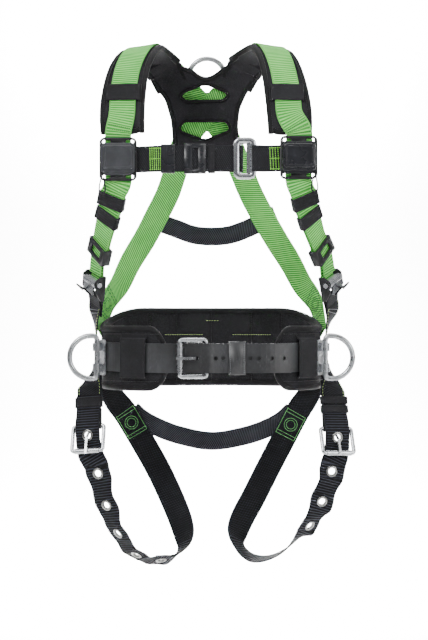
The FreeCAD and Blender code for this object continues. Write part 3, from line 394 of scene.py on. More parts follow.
def arc_at(side, y):
    best = None
    for (p, n), s in zip(WAIST_ROWS, WAIST_RUN):
        if p.x * side > FLAT and (best is None or abs(p.y - y) < best[0]):
            best = (abs(p.y - y), s)
    return best[1]


D_ARC = {"l": arc_at(-1, -58.0), "r": arc_at(1, -58.0)}
if D_ARC["l"] > 0:
    D_ARC["l"] -= GIRTH


def shoulder_route(side):
    """Front strap up over the pad, across the yoke and down the back to the far hip."""
    far = "r" if side == "l" else "l"
    sign = -1 if side == "l" else 1
    extra = PLY if side == "l" else 0
    rows = [(r[0], r[1]) for r in lifted(PAD_ROUTE[side], ON_SHOULDER)]
    rows.reverse()
    rows = [(tuple(BOX[side].at(a, 0, 0)), tuple(BOX[side].c)) for a in (-17, -46)] + rows[1:-1]
    n = tuple(YOKE.c)
    rows.append((tuple(YOKE.at(sign * 62, -132, ON_YOKE + extra + 6)), (sign * 0.25, 0.9, 0.5)))
    for x, b, rise in ((sign * 40, -104, 0), (0, -60, 0), (-sign * 33, -20, 0), (-sign * 47, 8, 2.4)):
        rows.append((tuple(YOKE.at(x, b, ON_YOKE + extra + rise)), n))
    for (x, z), rise in zip(BACK_XZ[far], BACK_LIFT):
        rows.append(on_back(x, z, rise))
    return rows + HIP_REAR[far]


def torso_route(side, off):
    f = CAM[side]
    rows = [(tuple(BOX[side].at(40, 0, off * 0.9)), tuple(BOX[side].c))]
    rows += lifted(TORSO[side], off)
    rows.append((tuple(f.at(-38, 0, off)), tuple(f.c)))
    rows.append((tuple(f.at(-20, 0, off)), tuple(f.c)))
    return rows


def torso_main(side):
    f = CAM[side]
    box = BOX[side]
    rows = [(tuple(box.at(a, 0, 0)), tuple(box.c)) for a in (-15, 20)] + torso_route(side, 0)
    return rows + [(tuple(f.at(a, 0, 0)), tuple(f.c)) for a in (0, 13)]


def torso_tail(side):
    rows = torso_route(side, TAIL)
    rows[-1] = (tuple(CAM[side].at(-13, 0, TAIL)), tuple(CAM[side].c))
    return rows[1:]


LEG_BAR_WRAP = BAR_R + 0.3 + WEB_T / 2
CAM_BAR_WRAP = 3.3 + WEB_T / 2
LEG_TONGUE = BAR_R + 0.3 + WEB_T + GAP + WEB_T / 2
LEG_PLY = PLY + 0.4
EYELET_C = 4.6


def hip_route(side):
    f = LEG[side]
    c = CAM[side]
    rows = [(tuple(f.at(a, 0, 0)), tuple(f.c)) for a in (-12, -30, -55, -69)]
    rows += HIP[side]
    return rows + [(tuple(c.at(a, 0, 0)), tuple(c.c)) for a in (52, 41)]


def leg_route(side):
    f = LEG[side]
    inwards = 1 if side == "l" else -1
    rows = list(LEG_ROUTE[side])
    for e in EYELETS[side]:
        h = Local(*e)
        for a in EYELET_FLAT:
            rows.append((tuple(h.at(a, 0, 0)), tuple(h.c)))
    for a, b, h in LEG_ENTRY:
        rows.append((tuple(f.at(a, inwards * b, h)), tuple(f.c)))
    pairs = [(27.5, 2.1), (17, EYELET_C), (6.5, 7.1), (-5, LEG_TONGUE * 0.97),
             (-15, LEG_TONGUE * 0.7), (-26, LEG_PLY), (-42, LEG_PLY), (-55, LEG_PLY)]
    for a, h in pairs:
        rows.append((tuple(f.at(a, 0, h)), tuple(f.c)))
    return rows


def lumbar_route():
    return [on_back(x, z, 4 + PLY + 1.6) for x, z in LUMBAR]


# ------------------------------------------------------------------ mesh makers
def new_mesh(name, verts, faces, smooth=True):
    """Object at the origin from vertices in mm."""
    mesh = bpy.data.meshes.new(name)
    mesh.from_pydata([Vector(v) * MM for v in verts], [], faces)
    mesh.update()
    if smooth:
        mesh.polygons.foreach_set("use_smooth", [True] * len(mesh.polygons))
    obj = bpy.data.objects.new(name, mesh)
    bpy.context.scene.collection.objects.link(obj)
    return obj


def paint(obj, *materials):
    """Sets the material slots; a new mesh keeps the slot numbers its faces already have."""
    if len(obj.data.materials):
        obj.data.materials.clear()
    for m in materials:
        obj.data.materials.append(m)
    return obj


def resample(rows, step):
    """Sections at an even pitch along the strap."""
    count = max(2, int(round(rows[-1].run / step)))
    out = []
    hi = 1
    for k in range(count + 1):
        run = rows[-1].run * k / count
        while hi < len(rows) - 1 and rows[hi].run < run:
            hi += 1
        a = rows[hi - 1]
        b = rows[hi]
        f = min(1.0, max(0.0, (run - a.run) / max(b.run - a.run, 1e-6)))
        out.append(Row(a.p.lerp(b.p, f), a.t.lerp(b.t, f).normalized(), a.n.lerp(b.n, f).normalized(),
                       a.w.lerp(b.w, f).normalized(), a.width + (b.width - a.width) * f, run))
    return out


def strap(name, rows, thick, ribs=0.0, pitch=3.6, offset=0.0, wave=0.0, ends=True, split=None):
    """Woven strap with rounded selvedges; UVs are run and side in millimetres.

    ribs is the height of real cross ribs, wave a slight edge flutter, and split a run
    length after which the faces take the second material.
    """
    verts = []
    faces = []
    sides = (-1.0, -0.985, -0.93, -0.6, -0.2, 0.2, 0.6, 0.93, 0.985, 1.0)
    tall = (0.45, 0.9, 1.06, 1.0, 1.0, 1.0, 1.0, 1.06, 0.9, 0.45)
    profile = [(s, h) for s, h in zip(sides, tall)] + [(s, -h) for s, h in zip(sides[::-1], tall[::-1])]
    uv = []
    for r in rows:
        hw = r.width / 2
        swell = ribs * abs(math.sin(math.pi * r.run / pitch))
        ripple = wave * math.sin(r.run / 9.0) + wave * 0.6 * math.sin(r.run / 23.0 + 1.3)
        for s, h in profile:
            lift = h * (thick / 2) + (swell if h > 0 else -swell)
            verts.append(r.p + r.w * (s * hw + offset) + r.n * (lift + ripple * s * abs(s)))
            uv.append((r.run, s * hw))
    m = len(profile)
    for i in range(len(rows) - 1):
        for j in range(m):
            k = (j + 1) % m
            faces.append((i * m + j, i * m + k, (i + 1) * m + k, (i + 1) * m + j))
    if ends:
        half = m // 2
        last = (len(rows) - 1) * m
        for j in range(half - 1):
            faces.append((j, m - 1 - j, m - 2 - j, j + 1))
            faces.append((last + j, last + j + 1, last + m - 2 - j, last + m - 1 - j))
    obj = new_mesh(name, verts, faces)
    layer = obj.data.uv_layers.new(name="strap")
    index = [0] * len(obj.data.loops)
    obj.data.loops.foreach_get("vertex_index", index)
    flat = []
    for v in index:
        flat += uv[v]
    layer.data.foreach_set("uv", flat)
    if split is not None:
        picks = []
        for i in range(len(rows) - 1):
            picks += [1 if rows[i].run > split else 0] * m
        picks += [1 if rows[-1].run > split else 0] * (len(faces) - len(picks))
        obj.data.polygons.foreach_set("material_index", picks)
    tidy_normals(obj)
    return obj


def tidy_normals(obj):
    bm = bmesh.new()
    bm.from_mesh(obj.data)
    bmesh.ops.recalc_face_normals(bm, faces=bm.faces)
    bm.to_mesh(obj.data)
    bm.free()


def wrap_route(frame, radius, start, turn, count=9):
    """Sections of a web turned round a bar at the frame's origin, front over to back."""
    out = []
    for k in range(count + 1):
        ang = math.radians(start + turn * k / count)
        p = frame.at(radius * math.cos(ang), 0, radius * math.sin(ang))
        n = frame.a * math.cos(ang) + frame.c * math.sin(ang)
        out.append((tuple(p), tuple(n)))
    return out


def swept(name, loop, profile, closed=True):
    """Profile of (outwards, up) points swept along a loop of (point, outwards, up)."""
    verts = []
    faces = []
    m = len(profile)
    for p, e, n in loop:
        for x, y in profile:
            verts.append(p + e * x + n * y)
    count = len(loop)
    for i in range(count if closed else count - 1):
        k = (i + 1) % count
        for j in range(m):
            q = (j + 1) % m
            faces.append((i * m + j, i * m + q, k * m + q, k * m + j))
    if not closed:
        faces.append(tuple(range(m))[::-1])
        faces.append(tuple(range((count - 1) * m, count * m)))
    obj = new_mesh(name, verts, faces)
    tidy_normals(obj)
    return obj


def lathe(name, spots, profile, sides=20):
    """Turned pieces: profile of (radius, height) from the axis out and back to it."""
    verts = []
    faces = []
    for origin, axis in spots:
        z = Vector(axis).normalized()
        x = z.orthogonal().normalized()
        y = z.cross(x)
        base = len(verts)
        rings = [p for p in profile if p[0] > 1e-6]
        for r, h in rings:
            for j in range(sides):
                f = 2 * math.pi * j / sides
                verts.append(Vector(origin) + z * h + x * (r * math.cos(f)) + y * (r * math.sin(f)))
        for i in range(len(rings) - 1):
            for j in range(sides):
                q = (j + 1) % sides
                faces.append((base + i * sides + j, base + i * sides + q,
                              base + (i + 1) * sides + q, base + (i + 1) * sides + j))
        faces.append(tuple(base + j for j in range(sides))[::-1])
        faces.append(tuple(base + (len(rings) - 1) * sides + j for j in range(sides)))
    obj = new_mesh(name, verts, faces)
    tidy_normals(obj)
    return obj


def rounded_rectangle(half_a, half_b, r, count=5):
    out = []
    for sa, sb, start in ((1, 1, 0), (-1, 1, 90), (-1, -1, 180), (1, -1, 270)):
        for k in range(count + 1):
            f = math.radians(start + 90 * k / count)
            out.append((sa * (half_a - r) + r * math.cos(f), sb * (half_b - r) + r * math.sin(f)))
    return out


def stacked_plate(name, frame, layers):
    """Moulding built from (half along, half across, radius, height) rings, bottom to top."""
    verts = []
    faces = []
    m = 0
    for da, db, ha, hb, r, c in layers:
        ring = rounded_rectangle(ha, hb, r)
        m = len(ring)
        verts += [frame.at(a + da, b + db, c) for a, b in ring]
    for i in range(len(layers) - 1):
        for j in range(m):
            q = (j + 1) % m
            faces.append((i * m + j, i * m + q, (i + 1) * m + q, (i + 1) * m + j))
    faces.append(tuple(range(m))[::-1])
    faces.append(tuple(range((len(layers) - 1) * m, len(layers) * m)))
    obj = new_mesh(name, verts, faces, smooth=False)
    tidy_normals(obj)
    return obj


def modified(obj, *mods):
    """Applies modifiers given as (type, settings) and returns the object."""
    for kind, settings in mods:
        mod = obj.modifiers.new(kind.title(), kind)
        for key, value in settings.items():
            setattr(mod, key, value)
    deps = bpy.context.evaluated_depsgraph_get()
    mesh = bpy.data.meshes.new_from_object(obj.evaluated_get(deps), depsgraph=deps)
    old = obj.data
    obj.modifiers.clear()
    obj.data = mesh
    bpy.data.meshes.remove(old)
    return obj


def elastic_band(name, frame, a0, a1, half_b, c0, c1, wall, ribs=5):
    """Closed band round a stack of webs, with lengthwise ribs in its weave."""
    half_c = (c1 - c0) / 2
    mid = (c1 + c0) / 2
    count = max(8, int((a1 - a0) / 0.9))
    outer = []
    inner = []
    for k in range(count + 1):
        a = a0 + (a1 - a0) * k / count
        swell = 0.3 * abs(math.sin(math.pi * ribs * k / count))
        edge = 0.45 if k in (0, count) else 0.0
        w = wall + swell - edge
        outer.append([frame.at(a, b, c + mid) for b, c in
                      rounded_rectangle(half_b + w, half_c + w, min(half_c + w, 2.2) * 0.98)])
        inner.append([frame.at(a, b, c + mid) for b, c in
                      rounded_rectangle(half_b, half_c, min(half_c, 1.2) * 0.98)])
    rings = outer + inner[::-1]
    m = len(rings[0])
    verts = [v for ring in rings for v in ring]
    faces = []
    total = len(rings)
    for i in range(total):
        k = (i + 1) % total
        for j in range(m):
            q = (j + 1) % m
            faces.append((i * m + j, i * m + q, k * m + q, k * m + j))
    obj = new_mesh(name, verts, faces)
    tidy_normals(obj)
    return obj


def joined(name, objs):
    """One object from several, keeping materials and UVs."""
    for o in bpy.context.view_layer.objects:
        o.select_set(False)
    for o in objs:
        o.select_set(True)
    bpy.context.view_layer.objects.active = objs[0]
    if len(objs) > 1:
        bpy.ops.object.join()
    objs[0].name = name
    objs[0].data.name = name
    objs[0].select_set(False)
    return objs[0]


# ------------------------------------------------------------------ materials
def colour(hex_value):
    """sRGB hex to linear RGBA."""
    out = []
    for i in (0, 2, 4):
        c = int(hex_value[i:i + 2], 16) / 255
        out.append(c / 12.92 if c <= 0.04045 else ((c + 0.055) / 1.055) ** 2.4)
    return (out[0], out[1], out[2], 1.0)


def add(tree, kind, inputs=None, **settings):
    """One node with its settings; inputs are values or the outputs linked to them."""
    n = tree.nodes.new(kind)
    for key, value in settings.items():
        setattr(n, key, value)
    for key, value in (inputs or {}).items():
        if isinstance(value, bpy.types.NodeSocket):
            tree.links.new(value, n.inputs[key])
        else:
            n.inputs[key].default_value = value
    return n


def finish_of(name, roughness, metallic=0.0, sheen=0.0, coat=0.0, coat_roughness=0.2, specular=0.5):
    """Empty material with a Principled shader; uniform values sit on its own sockets."""
    m = bpy.data.materials.new(name)
    m.use_nodes = True
    tree = m.node_tree
    tree.nodes.clear()
    out = add(tree, "ShaderNodeOutputMaterial")
    shader = add(tree, "ShaderNodeBsdfPrincipled", {
        "Roughness": roughness, "Metallic": metallic, "Sheen Weight": sheen,
        "Sheen Roughness": 0.4, "Coat Weight": coat, "Coat Roughness": coat_roughness,
        "Specular IOR Level": specular})
    tree.links.new(shader.outputs[0], out.inputs[0])
    return m, tree, shader


def stripes(tree, along, across, pitch, slant):
    """Soft cords 0..1 at a pitch in mm, leaning by slant mm across for each mm along."""
    skew = add(tree, "ShaderNodeMath", {0: across, 1: slant, 2: along}, operation="MULTIPLY_ADD")
    turn = add(tree, "ShaderNodeMath", {0: skew.outputs[0], 1: 2 * math.pi / pitch},
               operation="MULTIPLY")
    wave = add(tree, "ShaderNodeMath", {0: turn.outputs[0]}, operation="SINE")
    return add(tree, "ShaderNodeMath", {0: wave.outputs[0], 1: 0.5, 2: 0.5},
               operation="MULTIPLY_ADD").outputs[0]


def webbing(name, dark, mid, lit, pattern, pitch, half=WEB_W / 2, contrast=0.5, bump=0.5):
    """Woven polyester harness webbing: cords across or slanting, a denser plain selvedge, with painted
    highlight on the cords' crests and painted shade in their hollows.

    Matt with a faint bloom from its fibres. pitch is the cord spacing in mm, drawn a
    little coarser than the real 1.5 mm so that it still shows at arm's length.
    """
    m, tree, shader = finish_of(name, 0.82, sheen=0.06, specular=0.3)
    uv = add(tree, "ShaderNodeUVMap", uv_map="strap")
    axes = add(tree, "ShaderNodeSeparateXYZ", {0: uv.outputs[0]})
    u, v = axes.outputs[0], axes.outputs[1]
    if pattern == "ribs":
        height = stripes(tree, u, v, pitch, 0.0)
    elif pattern == "twill":
        height = stripes(tree, u, v, pitch, 0.55)
    else:
        a = stripes(tree, u, v, pitch, 0.9)
        b = stripes(tree, u, v, pitch, -0.9)
        height = add(tree, "ShaderNodeMath", {0: a, 1: b}, operation="MULTIPLY").outputs[0]
    wide = add(tree, "ShaderNodeMath", {0: v}, operation="ABSOLUTE")
    edge = add(tree, "ShaderNodeMapRange", {0: wide.outputs[0], 1: half - 2.6, 2: half - 2.0})
    plain = stripes(tree, v, u, 1.1, 0.0)
    height = add(tree, "ShaderNodeMix", {0: edge.outputs[0], 2: height, 3: plain}).outputs[0]
    place = add(tree, "ShaderNodeTexCoord")
    fibre = add(tree, "ShaderNodeTexNoise", {"Vector": place.outputs["Object"], "Scale": 900.0,
                                             "Detail": 2.0})
    cloud = add(tree, "ShaderNodeTexNoise", {"Vector": place.outputs["Object"], "Scale": 18.0,
                                             "Detail": 3.0})
    # the cord height, scaled by contrast, sets the painted shade in the hollows and the painted highlight
    # on the crests
    painted_cord_shading = add(tree, "ShaderNodeMath", {0: height, 1: contrast, 2: 0.5 - contrast / 2},
               operation="MULTIPLY_ADD")
    drift = add(tree, "ShaderNodeMath", {0: cloud.outputs[0], 1: 0.5, 2: -0.25},
                operation="MULTIPLY_ADD")
    tone = add(tree, "ShaderNodeMath", {0: painted_cord_shading.outputs[0], 1: drift.outputs[0]}, operation="ADD")
    # ramp: the dark colour in the hollows is painted shade, the lit colour on the crests is painted
    # highlight; the cloud noise adds a random drift in tone
    ramp = add(tree, "ShaderNodeValToRGB", {0: tone.outputs[0]})
    ramp.color_ramp.elements[0].position = 0.12
    ramp.color_ramp.elements[0].color = colour(dark)
    ramp.color_ramp.elements[1].position = 0.88
    ramp.color_ramp.elements[1].color = colour(lit)
    ramp.color_ramp.elements.new(0.5).color = colour(mid)
    tree.links.new(ramp.outputs[0], shader.inputs["Base Color"])
    rough = add(tree, "ShaderNodeMath", {0: fibre.outputs[0], 1: 0.25, 2: height},
                operation="MULTIPLY_ADD")
    raised = add(tree, "ShaderNodeBump", {"Strength": bump, "Distance": 0.0007,
                                          "Height": rough.outputs[0]})
    tree.links.new(raised.outputs[0], shader.inputs["Normal"])
    return m


def cloth(name, dark, lit, cell, roughness=0.9, bump=0.35, sheen=0.08):
    """Knitted spacer mesh, brushed face cloth or grosgrain over foam, woven or knitted.

    It stays matt and dark, with small cells that swallow the light: each cell's sunken middle is painted
    darker, as painted shade, and its raised rim lighter, as painted highlight.
    mm, drawn a little coarser than the real knit so that it shows at arm's length.
    """
    m, tree, shader = finish_of(name, roughness, sheen=sheen, specular=0.25)
    place = add(tree, "ShaderNodeTexCoord")
    cells = add(tree, "ShaderNodeTexVoronoi", {"Vector": place.outputs["Object"],
                                               "Scale": 1000.0 / cell})
    cloud = add(tree, "ShaderNodeTexNoise", {"Vector": place.outputs["Object"], "Scale": 14.0,
                                             "Detail": 4.0})
    tone = add(tree, "ShaderNodeMath", {0: cells.outputs[0], 1: 0.55, 2: cloud.outputs[0]},
               operation="MULTIPLY_ADD")
    # the cell pattern paints shade in each cell's sunken middle and highlight on its raised rim; the cloud
    # noise is a random drift in tone
    ramp = add(tree, "ShaderNodeValToRGB", {0: tone.outputs[0]})
    ramp.color_ramp.elements[0].position = 0.35
    ramp.color_ramp.elements[0].color = colour(dark)
    ramp.color_ramp.elements[1].position = 0.95
    ramp.color_ramp.elements[1].color = colour(lit)
    tree.links.new(ramp.outputs[0], shader.inputs["Base Color"])
    raised = add(tree, "ShaderNodeBump", {"Strength": bump, "Distance": 0.0006,
                                          "Height": cells.outputs[0]})
    tree.links.new(raised.outputs[0], shader.inputs["Normal"])
    return m


def leather(name, dark, lit):
    """Waxed bridle leather, rolled and buffed: tight grain about 1 mm across.

    The eye gets a broad satin sheen that breaks up where a grey bloom has been handled.
    """
    m, tree, shader = finish_of(name, 0.38, coat=0.5, coat_roughness=0.32)
    place = add(tree, "ShaderNodeTexCoord")
    grain = add(tree, "ShaderNodeTexVoronoi", {"Vector": place.outputs["Object"], "Scale": 900.0})
    bloom = add(tree, "ShaderNodeTexNoise", {"Vector": place.outputs["Object"], "Scale": 7.0,
                                             "Detail": 2.0, "Roughness": 0.4})
    scuff = add(tree, "ShaderNodeTexNoise", {"Vector": place.outputs["Object"], "Scale": 160.0,
                                             "Detail": 3.0})
    tone = add(tree, "ShaderNodeMath", {0: scuff.outputs[0], 1: 0.2, 2: bloom.outputs[0]},
               operation="MULTIPLY_ADD")
    ramp = add(tree, "ShaderNodeValToRGB", {0: tone.outputs[0]})
    ramp.color_ramp.elements[0].position = 0.5
    ramp.color_ramp.elements[0].color = colour(dark)
    ramp.color_ramp.elements[1].position = 0.92
    ramp.color_ramp.elements[1].color = colour(lit)
    tree.links.new(ramp.outputs[0], shader.inputs["Base Color"])
    dull = add(tree, "ShaderNodeMapRange", {0: bloom.outputs[0], 1: 0.3, 2: 0.7, 3: 0.3, 4: 0.52})
    tree.links.new(dull.outputs[0], shader.inputs["Roughness"])
    raised = add(tree, "ShaderNodeBump", {"Strength": 0.3, "Distance": 0.0004,
                                          "Height": grain.outputs[0]})
    tree.links.new(raised.outputs[0], shader.inputs["Normal"])
    return m


def metal(name, base, shade, roughness, grit, bump=0.2):
    """Forged or bent steel, barrel-plated in zinc: mottled grey, softly pitted, scuffed.

    The eye gets bright edges and cloudy reflections. grit is the pit spacing in mm, coarser
    than the real 0.2 mm so that it shows.
    """
    m, tree, shader = finish_of(name, roughness, metallic=1.0)
    place = add(tree, "ShaderNodeTexCoord")
    blotch = add(tree, "ShaderNodeTexNoise", {"Vector": place.outputs["Object"], "Scale": 70.0,
                                              "Detail": 4.0, "Roughness": 0.5})
    pits = add(tree, "ShaderNodeTexNoise", {"Vector": place.outputs["Object"],
                                            "Scale": 1000.0 / grit, "Detail": 2.0})
    ramp = add(tree, "ShaderNodeValToRGB", {0: blotch.outputs[0]})
    ramp.color_ramp.elements[0].position = 0.32
    ramp.color_ramp.elements[0].color = colour(shade)
    ramp.color_ramp.elements[1].position = 0.66
    ramp.color_ramp.elements[1].color = colour(base)
    tree.links.new(ramp.outputs[0], shader.inputs["Base Color"])
    dull = add(tree, "ShaderNodeMapRange", {0: blotch.outputs[0], 1: 0.3, 2: 0.7,
                                            3: roughness + 0.1, 4: max(0.08, roughness - 0.08)})
    tree.links.new(dull.outputs[0], shader.inputs["Roughness"])
    raised = add(tree, "ShaderNodeBump", {"Strength": bump, "Distance": 0.0006,
                                          "Height": pits.outputs[0]})
    tree.links.new(raised.outputs[0], shader.inputs["Normal"])
    return m


def plastic(name, base, lit, roughness, grit=0.8, bump=0.25):
    """Injection-moulded nylon or acetal with a fine spark-eroded texture.

    The eye gets an even half-gloss with soft edges. grit is the texture's grain in mm,
    coarser than the real 0.1 mm so that it shows.
    """
    m, tree, shader = finish_of(name, roughness, specular=0.45)
    place = add(tree, "ShaderNodeTexCoord")
    tex = add(tree, "ShaderNodeTexNoise", {"Vector": place.outputs["Object"],
                                           "Scale": 1000.0 / grit, "Detail": 3.0})
    wear = add(tree, "ShaderNodeTexNoise", {"Vector": place.outputs["Object"], "Scale": 45.0,
                                            "Detail": 4.0})
    ramp = add(tree, "ShaderNodeValToRGB", {0: wear.outputs[0]})
    ramp.color_ramp.elements[0].position = 0.4
    ramp.color_ramp.elements[0].color = colour(base)
    ramp.color_ramp.elements[1].position = 0.75
    ramp.color_ramp.elements[1].color = colour(lit)
    tree.links.new(ramp.outputs[0], shader.inputs["Base Color"])
    dull = add(tree, "ShaderNodeMapRange", {0: wear.outputs[0], 1: 0.3, 2: 0.7,
                                            3: roughness + 0.03, 4: roughness - 0.02})
    tree.links.new(dull.outputs[0], shader.inputs["Roughness"])
    raised = add(tree, "ShaderNodeBump", {"Strength": bump, "Distance": 0.0001,
                                          "Height": tex.outputs[0]})
    tree.links.new(raised.outputs[0], shader.inputs["Normal"])
    return m


def thread(name, base, lit):
    """Twisted bonded-nylon sewing thread: lighter crests on a darker lay, with a soft gloss."""
    m, tree, shader = finish_of(name, 0.55, sheen=0.2)
    place = add(tree, "ShaderNodeTexCoord")
    twist = add(tree, "ShaderNodeTexNoise", {"Vector": place.outputs["Object"], "Scale": 700.0,
                                             "Detail": 1.0})
    ramp = add(tree, "ShaderNodeValToRGB", {0: twist.outputs[0]})
    ramp.color_ramp.elements[0].color = colour(base)
    ramp.color_ramp.elements[1].color = colour(lit)
    tree.links.new(ramp.outputs[0], shader.inputs["Base Color"])
    return m


def backdrop(name, base):
    """Seamless painted paper, dead matt, with the faintest mottling."""
    m, tree, shader = finish_of(name, 0.95, specular=0.1)
    place = add(tree, "ShaderNodeTexCoord")
    mottle = add(tree, "ShaderNodeTexNoise", {"Vector": place.outputs["Object"], "Scale": 3.0})
    ramp = add(tree, "ShaderNodeValToRGB", {0: mottle.outputs[0]})
    ramp.color_ramp.elements[0].color = colour(base)
    ramp.color_ramp.elements[1].color = colour("ffffff")
    tree.links.new(ramp.outputs[0], shader.inputs["Base Color"])
    return m


LOOKS = {}


def look(name):
    """Materials by short name, made when first asked for."""
    if name in LOOKS:
        return LOOKS[name]
    s = bpy.context.scene.harness
    # for the webbings and cloths the first colour is the painted shade of the hollows and the last the
    # painted highlight of the crests and rims
    makers = {
        "green_ribs": lambda: webbing("green ribbed polyester webbing", s.green_shade, s.green,
                                      s.green_lit, "ribs", 4.4, contrast=0.85),
        "green_twill": lambda: webbing("green twill polyester webbing", s.green_shade, s.green,
                                       s.green_lit, "twill", 4.4, contrast=0.95),
        "black_ribs": lambda: webbing("black corded polyester webbing", "040406", "090a0d",
                                      "32343d", "ribs", 4.8, contrast=1.0, bump=0.8),
        "black_lattice": lambda: webbing("black lattice polyester webbing", "040406", "0b0c10",
                                         "30343e", "lattice", 4.0, contrast=1.0),
        "black_plain": lambda: webbing("black plain polyester webbing", "111114", "1a1b1e",
                                       "292a2f", "twill", 3.6, contrast=0.6),
        "black_narrow": lambda: webbing("black narrow polyester webbing", "1a1b1e", "2a2b30",
                                        "454851", "twill", 3.6, half=17.0, contrast=0.8),
        "pad_charcoal": lambda: cloth("charcoal brushed pad cloth", "171619", "2e2d31", 1.4),
        "pad_black": lambda: cloth("black spacer mesh", "111112", "28282b", 2.4, bump=0.5),
        "binding": lambda: cloth("black grosgrain binding", "09090a", "1c1c1e", 1.0, 0.8),
        "elastic": lambda: cloth("black elastic webbing", "101011", "27272a", 0.9, 0.85),
        "leather": lambda: leather("waxed black bridle leather", "1d1e20", "3d3f43"),
        "zinc": lambda: metal("zinc-plated forged steel", "d0d2d4", "a9acb0", 0.27, 2.2, 0.1),
        "bright_zinc": lambda: metal("bright zinc-plated steel wire", "e2e4e7", "c2c5c9", 0.2, 1.6,
                                     0.06),
        "dark_steel": lambda: metal("blackened steel", "2c2d30", "161719", 0.42, 1.8),
        "eyelet": lambda: metal("nickel-plated brass eyelet", "b5b5b2", "767673", 0.26, 1.2, 0.1),
        "plastic": lambda: plastic("moulded black nylon", "141517", "1c1d1f", 0.5),
        "grey_plastic": lambda: plastic("moulded charcoal nylon", "323438", "3e4044", 0.46),
        "gloss_plastic": lambda: plastic("polished black acetal", "1f2024", "292a2e", 0.27,
                                         bump=0.08),
        "pale_thread": lambda: thread("pale green bonded thread", "9cc46a", "d6eba6"),
        "dark_thread": lambda: thread("dark green bonded thread", "123a16", "2c6a2c"),
        "green_thread": lambda: thread("green bonded thread", "3d8f45", "8fd687"),
        "vivid_thread": lambda: thread("vivid green bonded thread", "5fc02c", "a8f065"),
        "black_thread": lambda: thread("black bonded thread", "0c0c0d", "2c2c2f"),
        "grey_thread": lambda: thread("grey bonded thread", "56585c", "8f9296"),
        "cord": lambda: cloth("black braided cord", "0b0b0c", "2c2c2e", 0.8, 0.7),
    }
    LOOKS[name] = makers[name]()
    return LOOKS[name]


def settle(obj, material, slot_name, *nodes, body=BODY):
    """Gives a finished piece its material and its body, and hides the nodes it stands for."""
    if material is not None:
        paint(obj, *[look(m) for m in (material if isinstance(material, tuple) else (material,))])
    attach(obj, body)
    if nodes:
        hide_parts(*nodes)
    return obj


def dress(node, material):
    """A carried-over solid keeps its mesh and gets a better finish."""
    paint(frame["nodes"][node], look(material))


def softened(node, material, width, slot_name, body=BODY):
    """Copy of a plain solid with rounded edges, which catch the light; width in mm."""
    obj = bpy.data.objects.new(node + "_soft", frame["nodes"][node].data.copy())
    bpy.context.scene.collection.objects.link(obj)
    bm = bmesh.new()
    bm.from_mesh(obj.data)
    bmesh.ops.remove_doubles(bm, verts=bm.verts, dist=2e-6)
    bmesh.ops.dissolve_limit(bm, angle_limit=math.radians(2), verts=bm.verts, edges=bm.edges)
    bm.to_mesh(obj.data)
    bm.free()
    modified(obj, ("BEVEL", {"width": width * MM, "segments": 2, "limit_method": "ANGLE",
                             "angle_limit": math.radians(38), "use_clamp_overlap": True,
                             "harden_normals": True}))
    obj.data.polygons.foreach_set("use_smooth", [True] * len(obj.data.polygons))
    return settle(obj, material, slot_name, node, body=body)


# ------------------------------------------------------------------ geometry-nodes tools
def node_tool(name, sockets):
    """Geometry-nodes group with a geometry in and out and named number inputs."""
    tree = bpy.data.node_groups.new(name, "GeometryNodeTree")
    tree.interface.new_socket("Geometry", in_out="INPUT", socket_type="NodeSocketGeometry")
    for label, kind, value in sockets:
        s = tree.interface.new_socket(label, in_out="INPUT", socket_type=kind)
        if value is not None:
            s.default_value = value
    tree.interface.new_socket("Geometry", in_out="OUTPUT", socket_type="NodeSocketGeometry")
    return tree, add(tree, "NodeGroupInput"), add(tree, "NodeGroupOutput")


def stitch_tool():
    """Lays one thread stitch per pitch along every line of the input."""
    if "Stitch Line" in bpy.data.node_groups:
        return bpy.data.node_groups["Stitch Line"]
    tree, start, end = node_tool("Stitch Line", [
        ("Pitch", "NodeSocketFloat", 0.004), ("Stitch Length", "NodeSocketFloat", 0.003),
        ("Thread Radius", "NodeSocketFloat", 0.0004), ("Material", "NodeSocketMaterial", None)])
    curve = add(tree, "GeometryNodeMeshToCurve", {"Mesh": start.outputs["Geometry"]})
    even = add(tree, "GeometryNodeResampleCurve", {"Curve": curve.outputs[0],
                                                   "Length": start.outputs["Pitch"]}, mode="LENGTH")
    way = add(tree, "GeometryNodeInputTangent")
    turn = add(tree, "FunctionNodeAlignRotationToVector", {"Vector": way.outputs[0]}, axis="Z")
    bead = add(tree, "GeometryNodeMeshCylinder", {
        "Vertices": 6, "Side Segments": 3, "Radius": start.outputs["Thread Radius"],
        "Depth": start.outputs["Stitch Length"]}, fill_type="NGON")
    spots = add(tree, "GeometryNodeInstanceOnPoints", {
        "Points": even.outputs[0], "Instance": bead.outputs["Mesh"], "Rotation": turn.outputs[0]})
    real = add(tree, "GeometryNodeRealizeInstances", {0: spots.outputs[0]})
    paint_all = add(tree, "GeometryNodeSetMaterial", {"Geometry": real.outputs[0],
                                                      "Material": start.outputs["Material"]})
    tree.links.new(paint_all.outputs[0], end.inputs[0])
    return tree


